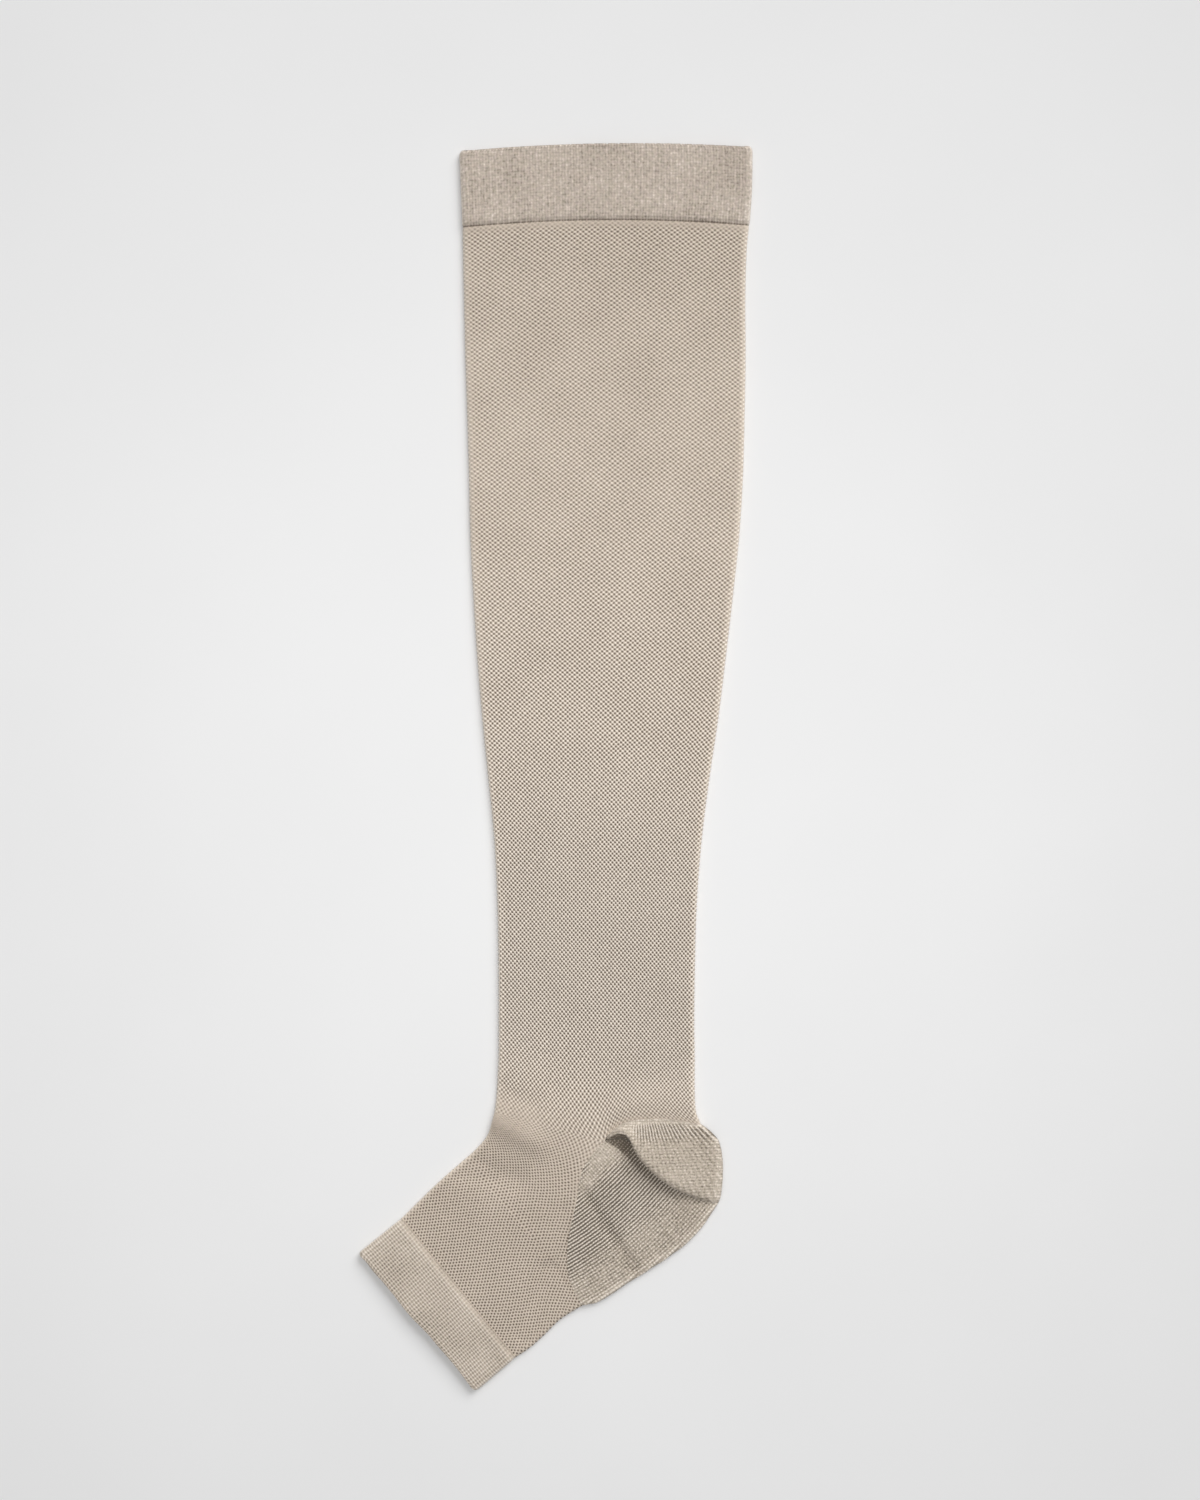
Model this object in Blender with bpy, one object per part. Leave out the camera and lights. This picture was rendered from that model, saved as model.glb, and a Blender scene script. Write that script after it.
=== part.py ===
"""An open-toe, knee-high compression stocking, lying flat on its side.

X runs from the shin fold to the calf fold, Y from the toes up to the top band, and Z up from the
surface that the stocking lies on. Every size is in millimetres until add_piece turns it to metres.

The stocking is one knitted tube pressed flat, so a course, which is one round of knitting, is two
layers joined by a round fold at the front and another at the back. Each piece is a row of courses,
made as the middle surface of its cloth, and a Solidify modifier gives it its wall.
"""

import bisect
import math
from collections import namedtuple

import bmesh
import bpy
from mathutils import Vector

MM = 0.001

# The cloth
WALL = 1.0  # the single knit of the leg, heel and foot
WELT = 1.4  # the doubled welt of the two bands
SLIT = 0.6  # between the two layers where they lie flat
LEAST_SLIT = 0.25  # where a fold presses them together
SEAM_GAP = 0.3  # from one piece to the next

# How finely a course is divided
HALF_STEPS = 8  # from its middle to a fold, on each layer
FOLD_STEPS = 4  # round a fold

# The leg's two folds, from the top band down to the ankle
Level = namedtuple("Level", "y front back")
LEVELS = (
    Level(224.0, -34.7, 70.8),
    Level(207.6, -34.0, 70.6),
    Level(196.1, -33.5, 69.8),
    Level(186.0, -33.3, 68.8),
    Level(168.0, -32.9, 68.3),
    Level(146.4, -32.4, 68.4),
    Level(124.8, -31.7, 68.0),
    Level(103.2, -31.1, 67.4),
    Level(81.6, -30.6, 66.0),
    Level(60.0, -29.5, 63.7),
    Level(38.4, -28.1, 61.2),
    Level(16.8, -26.3, 58.5),
    Level(-4.8, -24.1, 55.3),
    Level(-26.4, -22.0, 52.6),
    Level(-48.0, -20.9, 50.9),
    Level(-69.6, -20.5, 50.2),
    Level(-91.2, -20.4, 49.9),
    Level(-105.6, -20.5, 50.1),
    Level(-118.0, -21.2, 50.5),
    Level(-124.5, -22.0, 51.2),
    Level(-129.0, -23.2, 53.0),
)

# A band's courses: each one's share of the way from the band's seam to its end, and how far its
# corners pull in
Rise = namedtuple("Rise", "share inset")
BAND_RISES = (
    Rise(0.0, 0.0),
    Rise(0.33, 0.0),
    Rise(0.66, 0.0),
    Rise(0.91, 0.0),
    Rise(0.97, 0.3),
    Rise(1.0, 1.4),
)

# The top band's seam and top edge: the heights of their ends at the two folds, and how far each
# curves up between them
Edge = namedtuple("Edge", "front back bow")
BAND_SEAM = Edge(194.8, 195.4, 2.0)
BAND_TOP = Edge(221.7, 222.8, 1.8)

# The leg
LEG_COURSES = 22
BOW_FADES_AT = 100.0  # the courses are straight below this height
ANKLE_BEGINS_AT = -98.0  # and bend to the ankle's course below this one

# The ankle's course, from the front fold through the pinch at the side, over the heel, to the back
FRONT_ANKLE = Vector((-22.0, -124.5))
PINCH = Vector((17.5, -134.7))
BACK_ANKLE = Vector((53.0, -129.0))
HEEL_TOP = (
    PINCH,
    Vector((22.1, -131.6)),
    Vector((26.0, -129.9)),
    Vector((31.0, -129.4)),
    Vector((38.5, -130.2)),
    Vector((46.4, -130.6)),
    BACK_ANKLE,
)

# The edge of the sole's plain knit, from the pinch to where it meets the sole's fold
SOLE_END = Vector((9.7, -193.8))
SOLE_EDGE = (
    PINCH,
    Vector((13.6, -139.0)),
    Vector((10.2, -143.7)),
    Vector((8.6, -149.2)),
    Vector((7.6, -155.8)),
    Vector((5.9, -163.2)),
    Vector((4.6, -170.4)),
    Vector((4.3, -177.2)),
    Vector((5.0, -183.7)),
    Vector((6.9, -189.2)),
    SOLE_END,
)

# The deep crease of the heel: the lip that hangs over it and the valley under the lip
LIP = (
    PINCH,
    Vector((22.0, -134.4)),
    Vector((26.6, -135.8)),
    Vector((30.2, -139.4)),
    Vector((34.3, -143.2)),
    Vector((38.6, -147.0)),
    Vector((43.3, -150.0)),
    Vector((48.4, -152.2)),
    Vector((53.6, -154.0)),
    Vector((59.2, -155.4)),
)
VALLEY = (
    PINCH,
    Vector((20.4, -136.6)),
    Vector((24.6, -139.8)),
    Vector((29.0, -143.6)),
    Vector((33.9, -147.8)),
    Vector((39.2, -151.2)),
    Vector((45.0, -154.0)),
    Vector((51.2, -156.2)),
    Vector((57.9, -158.0)),
)

# The heel's rays, which run from the pinch to its outline: where each ends, how high its upper
# layer swells, and how far its lower layer is hollowed along a crease of its own
Ray = namedtuple("Ray", "x y swell hollow")
RAYS = (
    Ray(BACK_ANKLE.x, BACK_ANKLE.y, 0.0, 0.0),
    Ray(57.4, -131.2, 0.9, 0.0),
    Ray(60.0, -135.0, 2.1, 0.1),
    Ray(60.4, -141.0, 2.9, 0.5),
    Ray(60.2, -147.2, 3.2, 0.9),
    Ray(59.8, -152.0, 3.2, 0.5),
    Ray(59.2, -155.4, 2.7, 0.1),
    Ray(57.9, -158.0, 0.5, 0.0),
    Ray(55.0, -162.5, 0.7, 0.0),
    Ray(51.0, -167.6, 0.9, 0.0),
    Ray(45.6, -172.8, 0.9, 0.0),
    Ray(39.4, -177.3, 0.8, 0.0),
    Ray(33.0, -181.5, 0.7, 0.0),
    Ray(26.6, -185.5, 0.6, 0.0),
    Ray(20.2, -189.9, 0.4, 0.0),
    Ray(15.0, -192.7, 0.2, 0.0),
    Ray(SOLE_END.x, SOLE_END.y, 0.0, 0.0),
)
LIP_RAY = 6
VALLEY_RAY = 7
# A swell's share of its height, along a ray
SWELL_ALONG = ((0.0, 0.0), (0.2, 0.45), (0.45, 1.0), (0.7, 0.95), (1.0, 0.45))

# The foot's two folds: the instep from the ankle to the toe band, and the sole beyond the heel
INSTEP_BEND = (
    FRONT_ANKLE,
    Vector((-24.4, -132.4)),
    Vector((-28.6, -137.6)),
    Vector((-33.5, -142.0)),
)
INSTEP = (
    Vector((-33.5, -142.0)),
    Vector((-41.4, -148.8)),
    Vector((-49.0, -156.0)),
    Vector((-56.2, -163.2)),
)
SOLE = (
    SOLE_END,
    Vector((1.8, -198.8)),
    Vector((-4.0, -204.4)),
    Vector((-8.9, -208.8)),
    Vector((-14.4, -212.5)),
)
FOOT_BOW = 1.8  # how far the course through SOLE_END curves back
FOOT_COURSES = 5  # from there to the toe band

# The toe band
TOE_END = (Vector((-70.9, -175.0)), Vector((-28.4, -224.4)))
TOE_GAPE = 0.9  # how far the opening's upper layer stands off at its middle

# The soft folds of the cloth: a line, how wide the fold is on each side of it, and how far it
# moves the upper layer up and hollows the lower one
Fold = namedtuple("Fold", "name x1 y1 x2 y2 width above below")
FOLDS = (
    Fold("swell below the band", 10, 160, 40, 120, 34, 0.5, 0.0),
    Fold("swell at the calf", 22, 60, 12, -10, 26, 0.5, 0.0),
    Fold("swell above the ankle", 14, -60, 12, -95, 18, 0.6, 0.0),
    Fold("ridge at the bend", -24, -128, -6, -136, 4.5, 0.9, 0.0),
    Fold("trough of the instep", -34, -145, -14, -150, 5.0, -0.4, 0.0),
    Fold("swell of the instep", -22, -160, -6, -158, 15, 0.9, 0.2),
    Fold("swell of the foot", -22, -190, -18, -186, 14, 0.7, 0.0),
    Fold("trough by the sole", -3, -179, -11, -203, 3.6, -0.5, 0.0),
    Fold("line across the sole", 11, -154, 30.5, -184, 2.2, -0.5, 0.0),
)


def smooth_value(keys, values, at):
    """The value at a key, on the smooth line through the given values."""
    last = len(keys) - 1
    low = min(max(bisect.bisect_right(keys, at) - 1, 0), last - 1)
    high = low + 1
    span = keys[high] - keys[low]
    share = (at - keys[low]) / span

    def slope(index):
        before, after = max(index - 1, 0), min(index + 1, last)
        return (values[after] - values[before]) / (keys[after] - keys[before])

    cube, square = share**3, share**2
    return (
        values[low] * (2 * cube - 3 * square + 1)
        + slope(low) * span * (cube - 2 * square + share)
        + values[high] * (3 * square - 2 * cube)
        + slope(high) * span * (cube - square)
    )


def smooth_line(points):
    """A function from 0 to 1 that follows the smooth line through these points."""
    keys = [0.0]
    for start, end in zip(points, points[1:]):
        keys.append(keys[-1] + (end - start).length)
    return lambda share: smooth_value(keys, points, share * keys[-1])


def fold_at(level):
    """The front and back folds of the leg at a height."""
    keys = [-row.y for row in LEVELS]
    front = smooth_value(keys, [row.front for row in LEVELS], -level)
    back = smooth_value(keys, [row.back for row in LEVELS], -level)
    return front, back


def distance_to_line(place, fold):
    """How far a point is from a fold's line."""
    start, end = Vector((fold.x1, fold.y1)), Vector((fold.x2, fold.y2))
    along = end - start
    share = (place - start).dot(along) / along.length_squared
    return (place - start - along * min(max(share, 0.0), 1.0)).length


def layer_heights(place, wall, swell=0.0, hollow=0.0):
    """The middle heights of the upper and the lower layer at a point."""
    top, bottom = 1.5 * wall + SLIT + swell, 0.5 * wall + hollow
    for fold in FOLDS:
        reach = math.exp(-((distance_to_line(place, fold) / fold.width) ** 2))
        top += fold.above * reach
        bottom += fold.below * reach
    return max(top, bottom + wall + LEAST_SLIT), bottom


def fold_turn(inner, edge, top, bottom):
    """The round turn from the upper layer, where it leaves it at inner, to the lower one."""
    middle, radius = (top + bottom) / 2, (top - bottom) / 2
    turn = []
    for step in range(1, FOLD_STEPS):
        angle = math.pi * (0.5 - step / FOLD_STEPS)
        place = inner.lerp(edge, math.cos(angle))
        turn.append((place.x, place.y, middle + radius * math.sin(angle)))
    return turn


def fold_start(line, heights, wall):
    """The share of a line, from its middle at 0 to its outline at 1, at which its fold begins."""
    top, bottom = heights(1.0)
    return 1.0 - ((top - bottom) / 2 + wall / 2) / (line(1.0) - line(0.0)).length


def half_course(line, heights, wall):
    """Along the upper layer to the fold, round it, and back along the lower layer."""
    start = fold_start(line, heights, wall)
    shares = [start * step / HALF_STEPS for step in range(HALF_STEPS + 1)]
    upper = [(*line(share), heights(share)[0]) for share in shares]
    lower = [(*line(share), heights(share)[1]) for share in reversed(shares)]
    inner = line(start)
    inset = line(1.0) + (inner - line(1.0)).normalized() * wall / 2
    return upper + fold_turn(inner, inset, upper[-1][2], lower[0][2]) + lower


def ring(course, wall):
    """A closed course, as its front half and its back half, which meet at its middle."""

    def half(side):
        def line(share):
            return course(0.5 + 0.5 * side * share)

        return half_course(line, lambda share: layer_heights(line(share), wall), wall)

    front, back = half(-1), half(1)
    return front + back[-2:0:-1]


def ramp(value, start, end):
    """How far a value is from start towards end, and never less than nothing."""
    return max(0.0, (value - start) / (end - start))


def bowed(front, back, bow):
    """A course between two folds that curves up by bow halfway."""
    rise = Vector((0.0, bow))
    return lambda share: front.lerp(back, share) + rise * 4 * share * (1 - share)


def band_courses():
    """The top band's courses, from its seam up."""
    courses = []
    for rise in BAND_RISES:
        levels = Vector(BAND_SEAM).lerp(Vector(BAND_TOP), rise.share)
        front = Vector((fold_at(levels[0])[0] + rise.inset, levels[0]))
        back = Vector((fold_at(levels[1])[1] - rise.inset, levels[1]))
        courses.append(bowed(front, back, levels[2]))
    return courses


def ankle_course():
    """The bent course at the ankle: straight to the pinch, then over the top of the heel."""
    heel_top = smooth_line(HEEL_TOP)

    def course(share):
        if share < 0.5:
            return FRONT_ANKLE.lerp(PINCH, 2 * share)
        return heel_top(2 * share - 1)

    return course


def leg_courses():
    """The leg's courses, from the band's seam down to the ankle."""
    ankle = ankle_course()
    courses = []
    for step in range(LEG_COURSES + 1):
        share = step / LEG_COURSES
        share += 0.35 * share * (1 - share)
        front_level = BAND_SEAM.front + (FRONT_ANKLE.y - BAND_SEAM.front) * share
        back_level = BAND_SEAM.back + (BACK_ANKLE.y - BAND_SEAM.back) * share
        front = Vector((fold_at(front_level)[0], front_level))
        back = Vector((fold_at(back_level)[1], back_level))
        bow = BAND_SEAM.bow * ramp(front_level, BOW_FADES_AT, BAND_SEAM.front)
        bend = ramp(front_level, ANKLE_BEGINS_AT, FRONT_ANKLE.y) ** 3
        courses.append(bent_course(bowed(front, back, bow), ankle, bend))
    return courses


def bent_course(course, ankle, bend):
    """A course with a share of the ankle course's bend."""
    return lambda at: course(at) + (ankle(at) - FRONT_ANKLE.lerp(BACK_ANKLE, at)) * bend


def bend_of(line):
    """How far a line leaves the straight line between its ends, along its length."""
    return lambda share: line(share) - line(0.0).lerp(line(1.0), share)


def heel_ray(index):
    """A ray of the heel, whose bend lies between those of the creases and edges beside it."""
    bends = {
        0: bend_of(smooth_line(HEEL_TOP)),
        LIP_RAY: bend_of(smooth_line(LIP)),
        VALLEY_RAY: bend_of(smooth_line(VALLEY)),
        len(RAYS) - 1: bend_of(smooth_line(SOLE_EDGE)),
    }
    before = max(key for key in bends if key <= index)
    after = min(key for key in bends if key >= index)
    blend = (index - before) / (after - before) if after > before else 0.0
    end = Vector((RAYS[index].x, RAYS[index].y))

    def line(share):
        bend = bends[before](share).lerp(bends[after](share), blend)
        return PINCH.lerp(end, share) + bend

    return line


def heel_half_courses():
    """The heel's rays, each along the upper layer, round the outline, and back below."""
    keys, values = zip(*SWELL_ALONG)
    rays = []
    for index, ray in enumerate(RAYS):
        line = heel_ray(index)

        def heights(share, line=line, ray=ray):
            rise = smooth_value(keys, values, share)
            return layer_heights(line(share), WALL, ray.swell * rise, ray.hollow * rise)

        rays.append(half_course(line, heights, WALL))
    return rays


def foot_line(back, front, bow):
    """A course of the foot, from its back end to the front fold, curving towards the ankle."""
    across = (front - back).normalized()
    aside = Vector((-across.y, across.x)) * -bow
    return lambda share: back.lerp(front, share) + aside * 4 * share * (1 - share)


def foot_half_course(line, wall, gape=0.0):
    """A foot's course, from its back end round the front fold, with its upper layer raised."""

    def heights(share):
        return layer_heights(line(share), wall, gape * 4 * share * (1 - share))

    return half_course(line, heights, wall)


def foot_ring(front, back, bow, wall, gape=0.0):
    """A closed course of the foot: from the back fold round the front one, then the back fold."""
    top, bottom = layer_heights(back, wall)
    inner = back + (front - back).normalized() * ((top - bottom) / 2 + wall / 2)
    return closed_at_back(foot_half_course(foot_line(inner, front, bow), wall, gape), back, wall)


def closed_at_back(half, back, wall):
    """A half course whose two ends are joined by the back fold."""
    inner, top, bottom = Vector(half[0][:2]), half[0][2], half[-1][2]
    inset = back + (inner - back).normalized() * wall / 2
    return half + fold_turn(inner, inset, top, bottom)[::-1]


def foot_rows():
    """The foot's courses. The first ones end at the edge of the sole, and the others are closed."""
    sole_ray = heel_ray(len(RAYS) - 1)
    end = fold_start(sole_ray, lambda share: layer_heights(sole_ray(share), WALL), WALL)
    bend, instep, sole = smooth_line(INSTEP_BEND), smooth_line(INSTEP), smooth_line(SOLE)
    rows = []
    for step in range(HALF_STEPS + 1):
        share = step / HALF_STEPS
        line = foot_line(sole_ray(end * share), bend(share), FOOT_BOW * share)
        rows.append(foot_half_course(line, WALL))
    rows[-1] = closed_at_back(rows[-1], SOLE_END, WALL)
    for step in range(1, FOOT_COURSES + 1):
        share = step / FOOT_COURSES
        rows.append(foot_ring(instep(share), sole(share), FOOT_BOW * (1 - share), WALL))
    return rows


def toe_rows():
    """The toe band's courses, from its seam to the open toe."""
    rows = []
    for rise in BAND_RISES:
        front = INSTEP[-1].lerp(TOE_END[0], rise.share)
        back = SOLE[-1].lerp(TOE_END[1], rise.share)
        inset = (back - front).normalized() * rise.inset
        rows.append(foot_ring(front + inset, back - inset, 0.0, WELT, TOE_GAPE * rise.share))
    return rows


def add_cloth_faces(mesh, rows):
    """Joins each row of points to the next, and the ends of a row where both rows are closed."""
    grid = [[mesh.verts.new(Vector(point) * MM) for point in row] for row in rows]
    for low, high in zip(grid, grid[1:]):
        count = min(len(low), len(high))
        around = count if len(low) == len(high) and len(low) % 2 == 0 else count - 1
        for step in range(around):
            after = (step + 1) % count
            mesh.faces.new((low[step], low[after], high[after], high[step]))


def add_piece(name, rows, wall, offset, finish):
    """One piece of the stocking: the middle surface through its rows, with a wall on both sides."""
    mesh = bmesh.new()
    add_cloth_faces(mesh, rows)
    bmesh.ops.remove_doubles(mesh, verts=mesh.verts, dist=0.01 * MM)
    bmesh.ops.translate(mesh, verts=mesh.verts, vec=Vector((*offset, 0.0)) * SEAM_GAP * MM)
    data = bpy.data.meshes.new(name)
    mesh.to_mesh(data)
    mesh.free()
    data.shade_smooth()
    data.materials.append(finish)
    piece = bpy.data.objects.new(name, data)
    bpy.context.collection.objects.link(piece)
    solidify = piece.modifiers.new("Wall", "SOLIDIFY")
    solidify.thickness = wall * MM
    solidify.offset = 0.0
    return piece


def knit_finish(name, colour, roughness):
    """A matt knitted cloth, with its colour as sRGB values from 0 to 255."""
    linear = [((value / 255 + 0.055) / 1.055) ** 2.4 for value in colour]
    finish = bpy.data.materials.new(name)
    finish.use_nodes = True
    shader = finish.node_tree.nodes["Principled BSDF"]
    shader.inputs["Base Color"].default_value = (*linear, 1.0)
    shader.inputs["Roughness"].default_value = roughness
    shader.inputs["Metallic"].default_value = 0.0
    return finish


def centre_pieces(pieces):
    """Moves the pieces so that the stocking lies on Z = 0 with the middle of its box over 0, 0."""
    bpy.context.view_layer.update()
    graph = bpy.context.evaluated_depsgraph_get()
    corners = []
    for piece in pieces:
        corners += [Vector(corner) for corner in piece.evaluated_get(graph).bound_box]
    low = Vector([min(corner[axis] for corner in corners) for axis in range(3)])
    high = Vector([max(corner[axis] for corner in corners) for axis in range(3)])
    middle = (low + high) / 2
    for piece in pieces:
        for point in piece.data.vertices:
            point.co -= Vector((middle.x, middle.y, low.z))


def clear_scene():
    """Removes whatever the scene holds."""
    for thing in list(bpy.data.objects):
        bpy.data.objects.remove(thing)


def main():
    """Builds the five knitted pieces."""
    clear_scene()
    band = knit_finish("ribbed_welt", (189, 177, 165), 0.85)
    birdseye = knit_finish("birdseye_knit", (190, 178, 165), 0.85)
    plain = knit_finish("plain_heel_knit", (180, 168, 155), 0.8)
    toe_to_heel = (INSTEP[-1] - TOE_END[0]).normalized()
    pieces = [
        add_piece("top_band", [ring(course, WELT) for course in band_courses()], WELT, (0.0, 1.5), band),
        add_piece("leg", [ring(course, WALL) for course in leg_courses()], WALL, (0.0, 0.5), birdseye),
        add_piece("heel", heel_half_courses(), WALL, (0.5, -0.5), plain),
        add_piece("foot", foot_rows(), WALL, (-0.5, -0.5), birdseye),
        add_piece("toe_band", toe_rows(), WELT, Vector((-0.5, -0.5)) - toe_to_heel, band),
    ]
    centre_pieces(pieces)


if __name__ == "__main__":
    main()
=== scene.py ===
"""Looks of an open-toe, knee-high compression stocking that lies flat on its side.

The stocking is one knitted tube pressed flat. Each stretch of it is a thin wall of cloth: a fine
outer face, which carries the relief of its own stitch, a plain inner face, and closed rims. X runs
from the shin fold to the calf fold, Y from the toes up to the top band, and Z up from the table.
Sizes are in millimetres until a mesh is made.
"""

import logging
from dataclasses import dataclass
from enum import Enum
from typing import Any, Callable, Optional

import bpy
import numpy as np
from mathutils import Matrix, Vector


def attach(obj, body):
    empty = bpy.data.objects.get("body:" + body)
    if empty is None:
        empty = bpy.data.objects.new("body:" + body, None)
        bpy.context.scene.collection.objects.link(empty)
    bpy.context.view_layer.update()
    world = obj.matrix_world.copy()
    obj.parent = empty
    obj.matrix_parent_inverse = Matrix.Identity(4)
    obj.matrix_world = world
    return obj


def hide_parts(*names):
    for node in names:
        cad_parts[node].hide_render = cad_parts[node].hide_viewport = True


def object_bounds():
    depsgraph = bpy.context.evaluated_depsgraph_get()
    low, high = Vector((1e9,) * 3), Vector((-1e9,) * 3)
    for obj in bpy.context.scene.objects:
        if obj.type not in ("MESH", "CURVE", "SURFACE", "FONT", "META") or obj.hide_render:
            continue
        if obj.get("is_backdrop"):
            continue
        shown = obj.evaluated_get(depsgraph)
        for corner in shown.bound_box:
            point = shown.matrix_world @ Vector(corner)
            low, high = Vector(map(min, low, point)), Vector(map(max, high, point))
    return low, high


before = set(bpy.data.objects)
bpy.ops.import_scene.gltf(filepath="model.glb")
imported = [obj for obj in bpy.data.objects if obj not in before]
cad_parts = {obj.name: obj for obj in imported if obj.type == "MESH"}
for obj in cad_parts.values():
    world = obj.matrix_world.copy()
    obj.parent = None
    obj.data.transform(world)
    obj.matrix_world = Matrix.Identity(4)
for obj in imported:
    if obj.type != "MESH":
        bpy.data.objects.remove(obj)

Array = np.ndarray
Line = Callable[[Array], Array]
Heights = Callable[[Array], "tuple[Array, Array]"]
Socket = bpy.types.NodeSocket
NodeTree = bpy.types.NodeTree

MM = 0.001
KNIT = "knit"  # the UV map that counts wales along U and courses along V
STRENGTH = "strength"  # the attribute that says how strongly the stitch stands out
TONE_AND_PAINTED_LIGHT = "tone"  # and the one that says how much lighter or darker its yarn is painted: its own tone, painted highlights at folds and rims, and painted shade in creases, grooves and gaps
DRAWN = "drawn"  # and the one that says how far its rows are drawn apart
LOG = logging.getLogger("stocking")

# The cloth
WALL = 1.0  # the single knit of the leg, heel and foot
WELT = 1.4  # the doubled welt of the two bands
SLIT = 0.6  # between the two layers where they lie flat
LEAST_SLIT = 0.25  # where a fold presses them together
WELT_SWELLS_OVER = 2.2  # from a band's seam to its full thickness
EDGE_ROUND = 0.7  # how far in a band's free edge is rounded
LEAST_EDGE = 0.3  # the share of its thickness that a free edge keeps
EDGE_POINTS, PLAIN_EDGE_POINTS = 5, 3  # grid rows over the rounding, outside and inside

# The knit: wales are counted from the side's middle, so the front fold is at 25 and the back at -25
WALES = 100.0
FOLD_WALE = WALES / 4
LAYER_STEPS = 60  # points along one layer of a half course
FOLD_STEPS = 12  # points round a fold
LEG_ROWS = 203.0  # rows of dots from the band's seam to the ankle
FOOT_OPEN_ROWS = 22.0  # from the ankle to the end of the sole's plain knit
FOOT_CLOSED_ROWS = 17.5  # from there to the toe band
ROW_PITCHES = ((-130.0, 1.64), (30.0, 1.58), (195.0, 1.51))  # height, and how far apart rows are
BAND_COURSE = 1.0  # from one course of a welt to the next
DRAWN_ROWS = 9.0  # below the ankle, over which the foot's rows are drawn apart
BORDER = 1.5  # over how many wales or rows a stitch sinks into the next stretch
# How much lighter the leg's yarn looks, and how strongly the dots stand out: row, value
LEG_TONE = ((0.0, -0.06), (45.0, 0.015), (110.0, -0.01), (150.0, 0.02), (190.0, 0.03), (203.0, 0.0))
LEG_STRENGTH = ((0.0, 0.92), (60.0, 0.9), (110.0, 1.4), (150.0, 2.1), (185.0, 2.1), (203.0, 0.9))
FOOT_STRENGTH = ((0.0, 0.86), (6.0, 0.7), (14.0, 0.73), (26.0, 0.84), (45.0, 0.88))

# The leg's two folds, from the top band down to the ankle: height, front and back
LEVELS = (
    (224.0, -34.7, 70.8),
    (207.6, -34.0, 70.6),
    (196.1, -33.5, 69.8),
    (186.0, -33.3, 68.8),
    (168.0, -32.9, 68.3),
    (146.4, -32.4, 68.4),
    (124.8, -31.7, 68.0),
    (103.2, -31.1, 67.4),
    (81.6, -30.6, 66.0),
    (60.0, -29.5, 63.7),
    (38.4, -28.1, 61.2),
    (16.8, -26.3, 58.5),
    (-4.8, -24.1, 55.3),
    (-26.4, -22.0, 52.6),
    (-48.0, -20.9, 50.9),
    (-69.6, -20.5, 50.2),
    (-91.2, -20.4, 49.9),
    (-105.6, -20.5, 50.1),
    (-118.0, -21.2, 50.1),
    (-124.5, -22.0, 50.6),
    (-129.0, -23.2, 52.3),
)

# The top band's seam and top edge: heights at the two folds, and how far each curves up between
BAND_SEAM = np.array((193.6, 194.3, 2.3))
BAND_TOP = np.array((220.8, 222.4, 2.1))
BAND_CORNER = 1.5  # radius of the band's corners
BOW_FADES_AT = 100.0  # the leg's courses are straight below this height
ANKLE_BEGINS_AT = -76.0  # and bend to the ankle's course below this one

# The ankle's course, from the front fold through the pinch at the side, over the heel, to the back
FRONT_ANKLE = (-22.0, -124.5)
PINCH = (17.5, -134.7)
BACK_ANKLE = (52.3, -129.0)
HEEL_TOP = (
    PINCH, (20.3, -131.0), (24.3, -128.2), (30.0, -126.8), (38.0, -126.6), (46.4, -127.6), BACK_ANKLE,
)

# The edge of the sole's plain knit, from the pinch to where it meets the sole's fold
SOLE_END = (9.7, -193.8)
SOLE_EDGE = (
    PINCH, (13.6, -139.0), (10.2, -143.7), (8.6, -149.2), (7.6, -155.8), (5.9, -163.2),
    (4.6, -170.4), (4.3, -177.2), (5.0, -183.7), (6.9, -189.2), SOLE_END,
)

# The deep crease of the heel: the lip that hangs over it, and the valley under the lip
LIP = (
    PINCH, (19.6, -132.4), (22.3, -131.1), (25.2, -131.5), (27.3, -134.0), (29.0, -138.0), (32.2, -142.4),
    (35.8, -146.0), (39.6, -148.9), (43.9, -151.5), (49.2, -153.6), (54.5, -155.0), (59.2, -155.4),
)
VALLEY = (
    PINCH, (20.2, -135.9), (24.0, -138.0), (28.4, -142.0), (33.4, -146.6), (38.8, -150.3),
    (44.6, -153.3), (51.0, -155.9), (57.9, -158.0),
)

# Where the heel's rays, which fan out from the pinch, end on its outline
RAY_ENDS = (
    BACK_ANKLE, (56.5, -131.9), (59.0, -135.6), (60.1, -141.2), (60.2, -147.2), (59.8, -152.0),
    (59.2, -155.4), (57.9, -158.0), (55.0, -162.5), (51.0, -167.6), (45.6, -172.8), (39.4, -177.3),
    (33.0, -181.5), (26.6, -185.5), (20.2, -189.9), (15.0, -192.7), SOLE_END,
)
LIP_RAY, VALLEY_RAY, LAST_RAY = 6.0, 7.0, 16.0
# The upper layer along the fan: ray, how high it swells, and how far it has gone from the lip to
# the valley, which is less than nothing where it is tucked in under the lip
SWELLS = (
    (0.0, 0.0, 0.0), (0.5, 0.2, 0.0), (1.0, 0.6, 0.0), (2.0, 1.9, 0.0), (3.0, 3.5, 0.0), (4.0, 5.0, 0.0),
    (5.0, 5.9, 0.0), (5.5, 6.0, 0.0), (5.8, 5.6, 0.0), (6.0, 4.9, 0.0), (6.2, 3.7, -0.7),
    (6.4, 2.3, -1.2), (6.6, 1.1, -0.9), (6.8, 0.2, 0.2), (7.0, -0.3, 1.0), (8.0, -0.1, 1.0),
    (9.0, 0.4, 1.0), (11.0, 0.9, 1.0), (13.0, 0.7, 1.0), (15.0, 0.2, 1.0), (16.0, 0.0, 1.0),
)
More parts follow.
